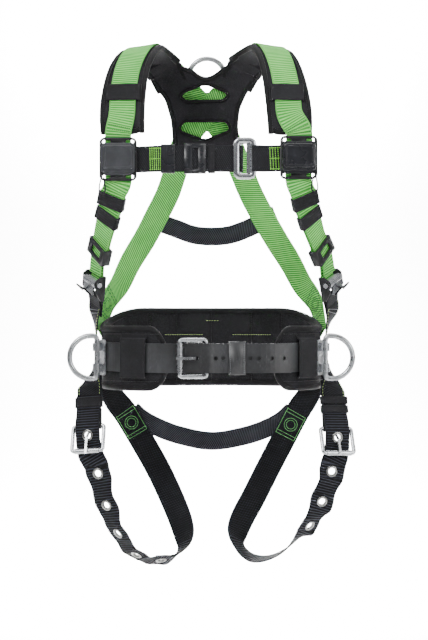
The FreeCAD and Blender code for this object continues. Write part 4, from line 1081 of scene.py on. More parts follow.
def ring_tool():
    """Sets a rolled ring at every point, facing its 'facing' attribute."""
    if "Ring Set" in bpy.data.node_groups:
        return bpy.data.node_groups["Ring Set"]
    tree, start, end = node_tool("Ring Set", [
        ("Radius", "NodeSocketFloat", 0.0075), ("Roll Width", "NodeSocketFloat", 0.0019),
        ("Roll Height", "NodeSocketFloat", 0.0008), ("Sides", "NodeSocketInt", 32),
        ("Material", "NodeSocketMaterial", None)])
    facing = add(tree, "GeometryNodeInputNamedAttribute", {"Name": "facing"},
                 data_type="FLOAT_VECTOR")
    turn = add(tree, "FunctionNodeAlignRotationToVector", {"Vector": facing.outputs[0]}, axis="Z")
    path = add(tree, "GeometryNodeCurvePrimitiveCircle", {"Resolution": start.outputs["Sides"],
                                                          "Radius": start.outputs["Radius"]})
    roll = add(tree, "GeometryNodeCurvePrimitiveCircle", {"Resolution": 8, "Radius": 1.0})
    size = add(tree, "ShaderNodeCombineXYZ", {0: start.outputs["Roll Width"],
                                              1: start.outputs["Roll Height"], 2: 1.0})
    flat = add(tree, "GeometryNodeTransform", {"Geometry": roll.outputs[0],
                                               "Scale": size.outputs[0]})
    ring = add(tree, "GeometryNodeCurveToMesh", {"Curve": path.outputs[0],
                                                 "Profile Curve": flat.outputs[0]})
    spots = add(tree, "GeometryNodeInstanceOnPoints", {
        "Points": start.outputs["Geometry"], "Instance": ring.outputs[0],
        "Rotation": turn.outputs[0]})
    real = add(tree, "GeometryNodeRealizeInstances", {0: spots.outputs[0]})
    smooth = add(tree, "GeometryNodeSetShadeSmooth", {0: real.outputs[0]})
    paint_all = add(tree, "GeometryNodeSetMaterial", {"Geometry": smooth.outputs[0],
                                                      "Material": start.outputs["Material"]})
    tree.links.new(paint_all.outputs[0], end.inputs[0])
    return tree


def run_tool(obj, tree, **values):
    """Runs a geometry-nodes group on a mesh and keeps the result as a plain mesh."""
    mod = obj.modifiers.new(tree.name, "NODES")
    mod.node_group = tree
    for item in tree.interface.items_tree:
        if item.item_type == "SOCKET" and item.in_out == "INPUT" and item.name in values:
            mod[item.identifier] = values[item.name]
    deps = bpy.context.evaluated_depsgraph_get()
    mesh = bpy.data.meshes.new_from_object(obj.evaluated_get(deps), depsgraph=deps)
    old = obj.data
    obj.modifiers.clear()
    obj.data = mesh
    bpy.data.meshes.remove(old)
    return obj


def stitched(name, lines, material, pitch=4.0, length=2.9, radius=0.4, body=BODY):
    """Stitches along polylines in mm; each line is a list of points on the surface."""
    verts = []
    edges = []
    for line in lines:
        base = len(verts)
        verts += [Vector(p) * MM for p in line]
        edges += [(base + i, base + i + 1) for i in range(len(line) - 1)]
    mesh = bpy.data.meshes.new(name)
    mesh.from_pydata(verts, edges, [])
    obj = bpy.data.objects.new(name, mesh)
    bpy.context.scene.collection.objects.link(obj)
    values = {"Pitch": pitch * MM, "Stitch Length": length * MM, "Thread Radius": radius * MM,
              "Material": look(material)}
    run_tool(obj, stitch_tool(), **values)
    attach(obj, body)
    return obj


def rings(name, spots, material, slot_name, radius, width, height, body=BODY, sides=32):
    """Rolled rings at (point, facing) in mm."""
    mesh = bpy.data.meshes.new(name)
    mesh.from_pydata([Vector(p) * MM for p, n in spots], [], [])
    facing = mesh.attributes.new("facing", "FLOAT_VECTOR", "POINT")
    flat = []
    for p, n in spots:
        flat += list(Vector(n).normalized())
    facing.data.foreach_set("vector", flat)
    obj = bpy.data.objects.new(name, mesh)
    bpy.context.scene.collection.objects.link(obj)
    run_tool(obj, ring_tool(), **{"Radius": radius * MM, "Roll Width": width * MM,
                                  "Roll Height": height * MM, "Sides": sides,
                                  "Material": look(material)})
    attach(obj, body)
    return obj


# ------------------------------------------------------------------ padded pieces
def puffed(name, node, voxel, cap, inset=1.2, pressure=4.0):
    """Foam pad: the plain solid shrunk a little, swollen as cloth under pressure and smoothed."""
    obj = bpy.data.objects.new(name, frame["nodes"][node].data.copy())
    bpy.context.scene.collection.objects.link(obj)
    bm = bmesh.new()
    bm.from_mesh(obj.data)
    bmesh.ops.remove_doubles(bm, verts=bm.verts, dist=1e-6)
    bm.to_mesh(obj.data)
    bm.free()
    modified(obj, ("REMESH", {"mode": "VOXEL", "voxel_size": voxel * MM}))
    mesh = obj.data
    normals = [v.normal.copy() for v in mesh.vertices]
    for v, n in zip(mesh.vertices, normals):
        v.co = v.co - n * (inset * MM)
    mesh.update()
    rest = [v.co.copy() for v in mesh.vertices]
    mod = obj.modifiers.new("Cloth", "CLOTH")
    mod.settings.quality = 5
    mod.settings.mass = 0.3
    mod.settings.use_pressure = True
    mod.settings.uniform_pressure_force = pressure
    mod.settings.tension_stiffness = 20
    mod.settings.compression_stiffness = 20
    mod.settings.bending_stiffness = 4
    mod.settings.effector_weights.gravity = 0
    mod.point_cache.frame_start = 1
    mod.point_cache.frame_end = 20
    scene = bpy.context.scene
    for f in range(1, 21):
        scene.frame_set(f)
    deps = bpy.context.evaluated_depsgraph_get()
    posed = obj.evaluated_get(deps).data
    moved = [v.co.copy() for v in posed.vertices]
    obj.modifiers.clear()
    scene.frame_set(1)
    for v, a, b in zip(mesh.vertices, rest, moved):
        d = b - a
        limit = cap * MM
        if d.length > limit:
            d = d * (limit / d.length)
        v.co = a + d
    mesh.update()
    modified(obj, ("SMOOTH", {"factor": 0.5, "iterations": 6}),
             ("SUBSURF", {"levels": 1, "render_levels": 1}))
    obj.data.polygons.foreach_set("use_smooth", [True] * len(obj.data.polygons))
    return obj


def sew_channels(obj, lines, depth, reach):
    """Presses the pad in along sewn lines given in mm."""
    pts = []
    for line in lines:
        for a, b in zip(line[:-1], line[1:]):
            a = Vector(a)
            b = Vector(b)
            count = max(1, int((b - a).length / 2.0))
            pts += [a.lerp(b, k / count) for k in range(count)]
    tree = KDTree(len(pts))
    for i, p in enumerate(pts):
        tree.insert(p * MM, i)
    tree.balance()
    for v in obj.data.vertices:
        near = tree.find(v.co)
        d = near[2] / MM
        if d < reach * 3:
            v.co = v.co - v.normal * (depth * MM * math.exp(-(d / reach) ** 2))
    obj.data.update()
    return obj


def lip_profile(half, grip, roll):
    """Rolled binding over a pad's edge, from the top face round to the underside."""
    top = [(-grip, half - 0.4), (-grip, half + 0.7), (-grip * 0.6, half + 1.2), (-1.0, half + 1.1),
           (roll * 0.55, half * 0.82), (roll, half * 0.36)]
    under = [(x, -y) for x, y in top[::-1]]
    return top + under


def pad_loop(rows, cap_start, cap_end, inset=3.0):
    """Edge loop of a ribbon-shaped pad: down one side, round the end, back up the other."""
    right = [(r.p + r.w * (r.width / 2 - inset), r.w, r.n) for r in rows]
    left = [(r.p - r.w * (r.width / 2 - inset), -r.w, r.n) for r in rows]

    def end(r, way, corner=12.0):
        out = []
        half = r.width / 2 - inset
        for k in range(1, 12):
            ang = math.pi * k / 12
            c = math.cos(ang)
            s = math.sin(ang)
            squash = 1 - abs(c) ** 6
            p = r.p + r.w * (half * c) + way * (corner * (squash - 1))
            e = (r.w * (c ** 3) + way * max(s, 0.05)).normalized()
            out.append((p, e, r.n))
        return out
    loop = right
    if cap_end:
        loop += end(rows[-1], rows[-1].t)
    loop += left[::-1]
    if cap_start:
        loop += end(rows[0], -rows[0].t)[::-1]
    return loop


def fringe(loop, up, inward):
    """Line of points on a pad's face, set in from its edge."""
    return [p - e * inward + n * up for p, e, n in loop]


# ------------------------------------------------------------------ settings
class HarnessSettings(bpy.types.PropertyGroup):
    """Sizes and colours a user would change."""

    # green_lit and green_shade are the painted highlight on the cords' crests and the painted shade in
    # their hollows
    green: StringProperty(name="Green", description="Mid tone of the green webbing, as a hex colour",
                          default="5fc84c")
    green_lit: StringProperty(name="Green, lit", description="Crest of the green cords",
                              default="98ea7e")
    green_shade: StringProperty(name="Green, shaded",
                                description="Hollow between the green cords", default="349538")
    web_thickness: FloatProperty(name="Webbing thickness", description="Thickness of the webbing",
                                 default=WEB_T * MM, unit="LENGTH")
    pad_cap: FloatProperty(name="Pad swell", description="Furthest a pad's face may swell",
                           default=0.0026, unit="LENGTH")
    light_power: FloatProperty(name="Light power", description="Power of the key softbox",
                               default=92.0, unit="POWER")
    camera_distance: FloatProperty(name="Camera distance", description="Distance in front of the waist",
                                   default=3.0, unit="LENGTH")


def settings():
    return bpy.context.scene.harness


class HARNESS_OT_pads(bpy.types.Operator):
    """Back yoke, shoulder pads and belt pad with their bindings and seams"""
    bl_idname = "harness.pads"
    bl_label = "Pads"

    SEAMS = tuple(GIRTH / 2 + off for off in (-230, -140, -77, 0, 66, 120, 215))

    def execute(self, context):
        cap = settings().pad_cap / MM
        for side in "lr":
            rows = resample(rows_of(PAD_ROUTE[side], 70), 4.0)
            node = "shoulder_pad_" + side
            pad = puffed("shoulder_pad_cover_" + side, node, PAD_VOXEL, min(cap, SHOULDER_SWELL), 1.6)
            settle(pad, "pad_charcoal", "pad_mesh", node)
            loop = pad_loop(rows, False, True)
            lip = lip_profile(SHOULDER_T / 2 - 0.6, LIP_GRIP, LIP_ROLL)
            edge = swept("shoulder_binding_" + side, loop, lip, closed=False)
            settle(edge, "binding", "pad_mesh")
            stitched("shoulder_binding_seam_" + side, [fringe(loop, SHOULDER_T / 2 + 0.5, 5.0)],
                     "black_thread")
            self.bridge(side, rows)
        self.yoke(cap)
        self.belt(cap)
        return {"FINISHED"}

    def bridge(self, side, rows):
        """Short padded neck, its ends sewn inside a shoulder pad and the yoke."""
        route = []
        for run in (24.0, 10.0, -2.0):
            p, n = point_on(rows, run, 0, -1.6)[:2]
            route.append((tuple(p), tuple(n)))
        x, y, lean = (-75, -131, 0.46) if side == "l" else (67, -135, -0.51)
        for back in (3.0, 13.0, 26.0):
            p = YOKE.at(x + lean * back, y + 0.88 * back, -0.6 + back * 0.03)
            route.append((tuple(p), tuple(YOKE.c)))
        line = resample(rows_of(route, 60), 2.5)
        neck = strap("pad_neck_" + side, line, 7.4)
        settle(neck, "pad_charcoal", "pad_mesh")
        rolls = []
        for way in (-1, 1):
            loop = [(r.p + r.w * (way * 29.0), r.w * way, r.n) for r in line]
            rolls.append(swept("roll", loop, lip_profile(3.4, 6.0, 2.8), closed=False))
        settle(joined("pad_neck_binding_" + side, rolls), "binding", "pad_mesh")

    def yoke(self, cap):
        """Back yoke with its rolled edge and two bound slots."""
        pad = puffed("back_yoke_cover", "back_yoke_pad", PAD_VOXEL, min(cap, YOKE_SWELL), 1.4)
        settle(pad, "pad_charcoal", "pad_mesh", "back_yoke_pad")
        outline = [(-62, 30), (-64, -12), (-67, -46), (-78, -84), (-104, -116), (-46, -146),
                   (-28, -140), (-12, -128), (0, -125), (12, -130), (30, -143), (42, -150),
                   (92, -120), (72, -92), (61, -66), (58, -40), (60, 30)]
        slots = [[(-48, -93), (-8, -109), (2, -109), (38, -94), (30, -84), (-40, -83)],
                 [(-43, -42), (36, -42), (42, -28), (0, -12), (-8, -12), (-50, -27)]]
        edge = self.outline_loop(outline, 3.0, 1)
        lip = lip_profile(YOKE_T / 2 - 0.4, LIP_GRIP, LIP_ROLL)
        rolls = [swept("roll", run, lip, closed=False) for run in self.free_runs(edge)]
        settle(joined("back_yoke_binding", rolls), "binding", "pad_mesh")
        rims = []
        for i, s in enumerate(slots):
            loop = self.outline_loop(s, 1.2, -1)
            rims.append(swept("yoke_slot_rim_%d" % i, loop, lip_profile(YOKE_T / 2 - 0.4, 3.4, 1.2)))
        rim = joined("back_yoke_slot_rims", rims)
        settle(rim, "binding", "pad_mesh")
        lines = [fringe(run, YOKE_T / 2 + 0.7, 5.2) for run in self.free_runs(edge)]
        lines += [fringe(self.outline_loop(s, 1.2, -1), YOKE_T / 2 + 0.7, 3.0) for s in slots]
        stitched("back_yoke_seams", lines, "black_thread")

    def free_runs(self, loop):
        """The stretches of the yoke's edge that are not sewn to a neck."""
        def on_neck(item):
            away = item[0] - YOKE.o
            x, y = away.dot(YOKE.a), away.dot(YOKE.b)
            left = -98 < x < -50 and abs(y + 116 + 30 * (x + 104) / 58) < 6
            right = 46 < x < 87 and abs(y + 150 - 30 * (x - 42) / 50) < 6
            return left or right
        first = next(i for i, item in enumerate(loop) if on_neck(item))
        runs = [[]]
        for item in loop[first:] + loop[:first]:
            if not on_neck(item):
                runs[-1].append(item)
            elif runs[-1]:
                runs.append([])
        return [r for r in runs if len(r) > 2]

    def outline_loop(self, outline, inset, sense):
        """Rounded loop round a flat outline on the yoke; sense -1 for a hole."""
        pts = [[Vector((x, y, 0))] for x, y in outline]
        n = len(pts)
        ring = []
        for i in range(n):
            p0, p1, p2 = pts[i - 1][0], pts[i][0], pts[(i + 1) % n][0]
            cut = min(7.0, (p1 - p0).length * 0.4, (p2 - p1).length * 0.4)
            a = p1 + (p0 - p1).normalized() * cut
            b = p1 + (p2 - p1).normalized() * cut
            for k in range(5):
                f = k / 4
                ring.append(a * (1 - f) ** 2 + p1 * (2 * f * (1 - f)) + b * f ** 2)
        area = sum(a.x * b.y - b.x * a.y for a, b in zip(ring, ring[1:] + ring[:1]))
        turn = sense * (1 if area > 0 else -1)
        loop = []
        for i, p in enumerate(ring):
            t = (ring[(i + 1) % len(ring)] - ring[i - 1]).normalized()
            e = Vector((t.y, -t.x, 0)) * turn
            q = p - e * inset
            loop.append((YOKE.at(q.x, q.y, 0), YOKE.a * e.x + YOKE.b * e.y, YOKE.c))
        return loop

    def belt(self, cap):
        """Waist pad, higher behind, with its binding, channels and pale stitches."""
        low_edge, high_edge, back_rise, tip_reach, edge_inset = -58.0, 53.0, 32.0, 22.0, 3.0
        pad = puffed("belt_pad_cover", "belt_pad", PAD_VOXEL, cap, 1.8)
        s0 = 107.0
        s1 = GIRTH - 74.0

        def edges(s):
            t = s if s <= GIRTH / 2 else s - GIRTH
            f = min(1.0, max(0.0, (min(abs(t) / (GIRTH / 2), 1.0) - 0.45) / 0.3))
            f = f * f * (3 - 2 * f)
            low = low_edge
            high = high_edge + back_rise * f
            tip = min(s - s0, s1 - s)
            if tip < tip_reach:
                high -= (tip_reach - tip) * 1.3
                low += (tip_reach - tip) * 0.9
            return low, high
        count = int((s1 - s0) / 5.0)
        stations = [s0 + 3 + (s1 - s0 - 6) * k / count for k in range(count + 1)]
        up = Vector((0, 0, 1))
        loop = []
        for s in stations:
            p, n = waist(s, 0, edges(s)[1] - edge_inset)
            loop.append((p, up, n))
        low, high = edges(s1)
        for k in range(1, 7):
            p, n = waist(s1 - edge_inset, 0,
                         high - edge_inset + (low - high + 2 * edge_inset) * k / 7)
            loop.append((p, up.cross(n).normalized(), n))
        for s in reversed(stations):
            p, n = waist(s, 0, edges(s)[0] + edge_inset)
            loop.append((p, -up, n))
        low, high = edges(s0)
        for k in range(1, 7):
            p, n = waist(s0 + edge_inset, 0,
                         low + edge_inset + (high - low - 2 * edge_inset) * k / 7)
            loop.append((p, -up.cross(n).normalized(), n))
        loop = self.eased(loop)
        lip = swept("belt_pad_binding", loop, lip_profile(PAD_T / 2 - 0.8, 7.0, 3.4))
        settle(lip, "binding", "pad_mesh")
        seams = []
        for s in self.SEAMS:
            low, high = edges(s % GIRTH if s < s0 else s)
            for face in (PAD_T / 2, -PAD_T / 2):
                seams.append([waist(s, face, low + 8 + (high - low - 16) * k / 20)[0]
                              for k in range(21)])
        sew_channels(pad, seams, CHANNEL_DEPTH, CHANNEL_REACH)
        settle(pad, "pad_black", "pad_mesh", "belt_pad")
        back = GIRTH / 2
        dashes = []
        for a, b, z in ((back - 115, back - 42, 36.0), (back + 18, back + 88, 36.0),
                        (back - 12, back + 8, 62.0)):
            dashes.append([waist(a + (b - a) * k / 20, -PAD_T / 2 - 1.4, z)[0] for k in range(21)])
        stitched("belt_pad_pale_stitches", dashes, "pale_thread", 4.4, 2.7, 0.45)
        hems = []
        for z, a, b in ((-42.0, s0 + 16, 250.0), (39.0, s0 + 16, 250.0),
                        (-42.0, GIRTH - 215.0, s1 - 16), (39.0, GIRTH - 215.0, s1 - 16)):
            hems.append([waist(a + (b - a) * k / 30, PAD_T / 2 + 1.0, z)[0] for k in range(31)])
        stitched("belt_pad_seams", seams + hems, "black_thread")

    def eased(self, loop):
        """Rounds the loop's corners by averaging each place with its neighbours."""
        for _ in range(4):
            n = len(loop)
            out = []
            for i in range(n):
                p = (loop[i - 1][0] + loop[i][0] * 2 + loop[(i + 1) % n][0]) / 4
                e = (loop[i - 1][1] + loop[i][1] * 2 + loop[(i + 1) % n][1]).normalized()
                m = (loop[i - 1][2] + loop[i][2] * 2 + loop[(i + 1) % n][2]).normalized()
                out.append((p, e, m))
            loop = out
        return loop


def sewn_box(rows, a, b):
    """A sewn box with two rings and two cross bars, on both faces of a strap from run a to b."""
    out = []
    for up in (WEB_T / 2 + STITCH_LIFT, -WEB_T / 2 - STITCH_LIFT):
        out += sewn_face(rows, a, b, up)
    return out


def sewn_face(rows, a, b, up):
    """The box, its two rings and its two bars on one face of the strap."""
    half = WEB_W / 2 - 4
    mid = (a + b) / 2

    def pt(run, side):
        return point_on(rows, run, side, up)[0]

    def circle(radius, count):
        turns = [2 * math.pi * k / count for k in range(count + 1)]
        return [pt(mid + radius * math.cos(t), radius * math.sin(t)) for t in turns]
    box = [pt(a + (b - a) * k / 12, half) for k in range(13)]
    box += [pt(b, half - half * k / 4) for k in range(1, 9)]
    box += [pt(b - (b - a) * k / 12, -half) for k in range(1, 13)]
    box += [pt(a, -half + half * k / 4) for k in range(1, 9)]
    bars = [[pt(a + (b - a) * f, half - half * k / 4) for k in range(9)] for f in (0.12, 0.88)]
    return [box, circle(12, 28), circle(8, 24)] + bars


class HARNESS_OT_green_webbing(bpy.types.Operator):
    """Green shoulder and torso straps with their sewn boxes"""
    bl_idname = "harness.green_webbing"
    bl_label = "Green webbing"

    def execute(self, context):
        thick = settings().web_thickness / MM
        for side in "lr":
            rows = resample(rows_of(shoulder_route(side), WEB_W), STRAP_STEP)
            web = strap("shoulder_strap_" + side, rows, thick, split=430.0)
            settle(web, ("green_ribs", "green_twill"), "green_webbing", "shoulder_web_" + side)
            ends = min(rows, key=lambda r: abs(r.p.z - 92) + (0 if r.p.y > 20 else 999))
            lines = sewn_box(rows, ends.run - 26, ends.run + 26)
            lines += self.ladder(rows, 10, 40)
            stitched("shoulder_strap_stitches_" + side, lines, "dark_thread",
                     3.4, 2.6, 0.5)
            rows = resample(rows_of(torso_main(side), WEB_W), STRAP_STEP)
            web = strap("torso_strap_" + side, rows, thick)
            settle(web, "green_ribs", "green_webbing", "torso_web_" + side)
            rows = resample(rows_of(torso_tail(side), WEB_W), STRAP_STEP)
            tail = strap("torso_strap_tail_" + side, rows, thick, wave=0.35)
            settle(tail, "green_ribs", "green_webbing", "torso_tail_" + side)
        return {"FINISHED"}

    def ladder(self, rows, a, b):
        """Close cross rows of stitching."""
        up = WEB_T / 2 + STITCH_LIFT
        out = []
        run = a
        while run <= b:
            out.append([point_on(rows, run, TACK_HALF * (k / 4 - 1), up)[0] for k in range(9)])
            run += 7.5
        return out


class HARNESS_OT_black_webbing(bpy.types.Operator):
    """Chest, hip, lumbar, seat and leg straps"""
    bl_idname = "harness.black_webbing"
    bl_label = "Black webbing"

    def execute(self, context):
        thick = settings().web_thickness / MM
        for side, route in (("l", CHEST_L), ("r", CHEST_R)):
            rows = resample(rows_of(route, WEB_W, across=True), 1.4)
            web = strap("chest_strap_" + side, rows, thick)
            settle(web, "black_plain", "black_webbing", "chest_web_" + side)
            self.chest_stitches(side, rows)
        for name, route, wave in (("lumbar_strap", lumbar_route(), 0.5), ("seat_strap", SEAT, 1.1)):
            rows = resample(rows_of(route, 34), 2.5)
            web = strap(name, rows, thick, wave=wave)
            settle(web, "black_narrow", "black_webbing",
                   "lumbar_web" if name == "lumbar_strap" else "seat_web")
        for side in "lr":
            self.hip(side, thick)
            self.leg(side, thick)
        return {"FINISHED"}

    def chest_stitches(self, side, rows):
        """Bright tack of close columns on the face that shows."""
        up = WEB_T / 2 + 0.4
        lines = []
        a, b = (64.0, 82.0) if side == "l" else (36.0, 60.0)
        columns = 5
        for k in range(columns + 1):
            run = a + (b - a) * k / columns
            lines.append([point_on(rows, run, TACK_HALF * (j / 4 - 1), up)[0] for j in range(9)])
        for w in (-TACK_HALF, 0.0, TACK_HALF):
            lines.append([point_on(rows, a + (b - a) * j / 8, w, up)[0] for j in range(9)])
        # the across direction points up, so the outer face may be either side of the web
        flip = rows[len(rows) // 3].n.y > 0
        if flip:
            lines = [[p + Vector((0, -2 * up, 0)) for p in line] for line in lines]
        stitched("chest_strap_stitches_" + side, lines, "vivid_thread",
                 3.0, 2.3, 0.8)

    def hip(self, side, thick):
        """Hip strap, split round the leg buckle's prong and folded over both bars."""
        rows = resample(rows_of(hip_route(side), WEB_W), STRAP_STEP)
        pieces = [strap("hip_strap_" + side, rows, thick)]
        f = LEG[side]
        c = CAM[side]
        half = (WEB_W - 9.0) / 2
        low = [(tuple(f.at(-14, 0, 0.6)), tuple(f.c)), (tuple(f.at(-7.5, 0, 2.6)), tuple(f.c))]
        low += wrap_route(f, LEG_BAR_WRAP, 118, -236)
        low += [(tuple(f.at(-9, 0, -3.6)), tuple(-f.c)), (tuple(f.at(-30, 0, -3.0)), tuple(-f.c))]
        for k, off in enumerate((-(half + 9.0) / 2, (half + 9.0) / 2)):
            pieces.append(strap("hip_low_%s%d" % (side, k), rows_of(low, half), thick, offset=off))
        bar = Local(tuple(c.at(26, 0, 0)), tuple(-c.a), tuple(c.c))
        top = [(tuple(c.at(44, 0, 0)), tuple(c.c)), (tuple(c.at(34, 0, 2.4)), tuple(c.c))]
        top += wrap_route(bar, CAM_BAR_WRAP, 120, -236)
        top += [(tuple(c.at(36, 0, -3.4)), tuple(-c.c)), (tuple(c.at(60, 0, -3.0)), tuple(-c.c))]
        pieces.append(strap("hip_top_" + side, rows_of(top, WEB_W), thick))
        web = joined("hip_strap_" + side, pieces)
        settle(web, "black_plain", "black_webbing", "hip_web_" + side)
        up = WEB_T / 2 + STITCH_LIFT
        lines = []
        for w in (-19.0, 19.0):
            a = 20.0
            b = rows[-1].run - 6
            lines.append([point_on(rows, a + (b - a) * k / 40, w, up)[0] for k in range(41)])
        stitched("hip_strap_pale_stitches_" + side, lines, "pale_thread",
                 5.2, 3.2, 0.4)
        cross = []
        for run in (26.0, 32.0, rows[-1].run - 12, rows[-1].run - 18):
            cross.append([point_on(rows, run, TACK_HALF * (j / 4 - 1), up)[0] for j in range(9)])
        stitched("hip_strap_bar_tacks_" + side, cross, "grey_thread", 3.0, 2.6, 0.5)

    def leg(self, side, thick):
        """Leg strap with its punched eyelets, sewn box and tip."""
        rows = rows_of(leg_route(side), WEB_W)
        marks = []
        for e in EYELETS[side]:
            h = Local(*e)
            marks.append((h.o, h.c))
        f = LEG[side]
        engaged = Local(tuple(f.at(17.0, 0, EYELET_C)), tuple(f.a * 10.5 - f.c * 2.5), tuple(f.c))
        marks.append((engaged.o, engaged.c))
        turn = min(range(len(rows)), key=lambda i: (rows[i].p - Vector(LEG_ROUTE[side][9][0])).length)
        cut = rows[turn].run
        fine = resample(rows, 0.9)
        scallop(fine, marks[:-1])
        web = strap("leg_strap_" + side, fine, thick - 0.2, ribs=0.35, pitch=LEG_RIB_PITCH,
                    split=cut)
        paint(web, look("black_lattice"), look("black_ribs"))
        cutter = lathe("cutter", marks, [(EYELET_HOLE_R, -5.0), (EYELET_HOLE_R, 5.0)], 24)
        modified(web, ("BOOLEAN", {"operation": "DIFFERENCE", "solver": "EXACT",
                                   "material_mode": "INDEX", "object": cutter}))
        bpy.data.objects.remove(cutter)
        settle(web, None, "black_webbing", "leg_web_" + side)
        rim = WEB_T / 2 + 0.5
        spots = [(p + n * (rim * k), n) for p, n in marks for k in (1, -1)]
        flange = rings("leg_eyelet_flanges_" + side, spots, "eyelet", "zinc_steel",
                       EYELET_FLANGE_R, 2.1, 0.75)
        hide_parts("leg_grommets")
        settle(open_tubes("leg_eyelet_barrels_" + side, marks), "eyelet", "zinc_steel")
        crossing = min(rows, key=lambda r: abs(r.p.z + 126) + (0 if r.p.y > 50 else 999))
        lines = sewn_box(rows, crossing.run - SEWN_HALF, crossing.run + SEWN_HALF)
        stitched("leg_strap_green_box_" + side, lines, "green_thread",
                 3.0, 2.6, 0.55)
        patch = []
        end = rows[-1].run
        for run in (end - 6, end - 11, end - 16):
            patch.append([point_on(rows, run, -17 + 34 * j / 8, WEB_T / 2 + 0.3)[0]
                          for j in range(9)])
        stitched("leg_strap_tip_stitches_" + side, patch, "grey_thread",
                 3.0, 2.6, 0.45)


def scallop(rows, marks):
    """Lets the strap curl in and wander a little between one eyelet and the next."""
    stops = sorted(min(rows, key=lambda r: (r.p - p).length).run for p, _ in marks)
    for a, b in zip(stops[:-1], stops[1:]):
        for r in rows:
            if a < r.run < b:
                f = (r.run - a) / (b - a)
                r.width *= 1 - 0.15 * math.sin(math.pi * f) ** 2
                r.p = r.p + r.w * (1.6 * math.sin(2 * math.pi * f))


def open_tubes(name, spots):
    """Eyelet barrels: short tubes, open through their middles."""
    verts = []
    faces = []
    sides = 24
    for p, n in spots:
        z = n.normalized()
        x = z.orthogonal().normalized()
        y = z.cross(x)
        base = len(verts)
        for r, h in ((5.9, -1.6), (5.9, 1.6), (6.35, 1.6), (6.35, -1.6)):
            for j in range(sides):
                a = 2 * math.pi * j / sides
                verts.append(p + z * h + x * (r * math.cos(a)) + y * (r * math.sin(a)))
        for i in range(4):
            k = (i + 1) % 4
            for j in range(sides):
                q = (j + 1) % sides
                faces.append((base + i * sides + j, base + i * sides + q,
                              base + k * sides + q, base + k * sides + j))
    obj = new_mesh(name, verts, faces)
    tidy_normals(obj)
    return obj


class HARNESS_OT_keepers(bpy.types.Operator):
    """Elastic bands, belt loops and web slides that hold the straps"""
    bl_idname = "harness.keepers"
    bl_label = "Keepers and slides"

    def execute(self, context):
        bands = []
        for side in "lr":
            rows = rows_of(torso_main(side), WEB_W, steps=20)
            for i, f in ((3, 0.45), (4, 0.35)):
                bands.append(elastic_band("band", self.on_route(rows, i, f), -12.5, 12.5, WEB_W / 2 + 1.2,
                                          -WEB_T / 2 - 1.2, TAIL + WEB_T / 2 + 1.0, 1.2, 6))
        settle(joined("torso_bands", bands), "elastic", "black_webbing", "torso_keepers")
        bands = []
        for side, marks, half in (("l", (-42,), 9.0), ("r", (-34, -50), 6.5)):
            for a in marks:
                bands.append(elastic_band("band", LEG[side], a - half, a + half, WEB_W / 2 + 0.9,
                                          -WEB_T / 2 - 0.8, LEG_PLY + WEB_T / 2 + 0.8, 1.3, 4))
        settle(joined("leg_bands", bands), "elastic", "black_webbing", "leg_keepers")
        self.pad_loops()
        self.belt_loops()
        softened("web_slides", "plastic", 1.0, "black_plastic")
        softened("chest_slide", "gloss_plastic", 1.1, "black_plastic")
        line = Local((0, -117.3, CHEST_Z), (1, 0, 0), (0, -1, 0))
        lone = Local((-74, -116.3, CHEST_Z), (1, -0.05, 0), (-0.05, -1, 0))
        low = -PLY - WEB_T / 2 - 1.2
        pair = [elastic_band("band", lone, -12, 12, WEB_W / 2 + 0.8, -WEB_T / 2 - 0.8,
                             WEB_T / 2 + 0.8, 1.2, 5),
                elastic_band("band", line, -5, 7, WEB_W / 2 + 0.8, low, WEB_T / 2 + 0.5, 1.4, 3)]
        paint(pair[0], look("gloss_plastic"))
        paint(pair[1], look("elastic"))
        settle(joined("chest_bands", pair), None, "black_plastic", "chest_keepers")
        return {"FINISHED"}

    def on_route(self, rows, i, f):
        r = rows[int((i + f) * 20)]
        return Local(tuple(r.p), tuple(r.t), tuple(r.n))

    def pad_loops(self):
        """Loops sewn to the shoulder pads that the green straps pass under."""
        top = ON_SHOULDER + WEB_T / 2 + GAP + 1.6 + 0.9
        low = SHOULDER_T / 2 + 2.9
        pieces = []
        for side in "lr":
            p, n = PAD_ROUTE[side][5][:2]
            n = Vector(n).normalized()
            f = Local(tuple(p), (0, -0.3, -1), tuple(n))
            over = [(-31.0, low), (-27.5, low), (-26.6, top - 0.9), (-24.5, top), (0.0, top + 0.2),
                    (24.5, top), (26.6, top - 0.9), (27.5, low), (31.0, low)]
            route = []
            for b, c in over:
                side_on = abs(b) in (27.5, 26.6)
                out = f.b * (1 if b > 0 else -1) if side_on else f.c
                route.append((tuple(f.at(0.0, b, c)), tuple(out)))
            pieces.append(strap("loop", rows_of(route, 30.0), 1.7, ribs=0.3, pitch=3.4))
        settle(joined("shoulder_pad_loops", pieces), "elastic", "black_webbing", "pad_keepers")

    def belt_loops(self):
        """Loops sewn to the waist pad that the leather passes through."""
        top = ON_PAD + LEATHER_T / 2 + 1.8
        low = PAD_T / 2 + 1.2
        pieces = []
        for mid in (-130.0, 169.0):
            route = []
            for z, c, way in ((-39, low, 0), (-35, low, 0), (-32.5, (low + top) / 2, -1),
                              (-30, top, 0), (0, top + 0.3, 0), (30, top, 0),
                              (32.5, (low + top) / 2, 1), (35, low, 0), (39, low, 0)):
                p, n = waist(mid, c, z - 2 if abs(z) < 36 else z)
                out = Vector((0, 0, way)) if way else n
                route.append((tuple(p), tuple(out)))
            pieces.append(strap("loop", rows_of(route, 50.0), 2.0))
        settle(joined("belt_pad_loops", pieces), "elastic", "black_webbing", "belt_loops")


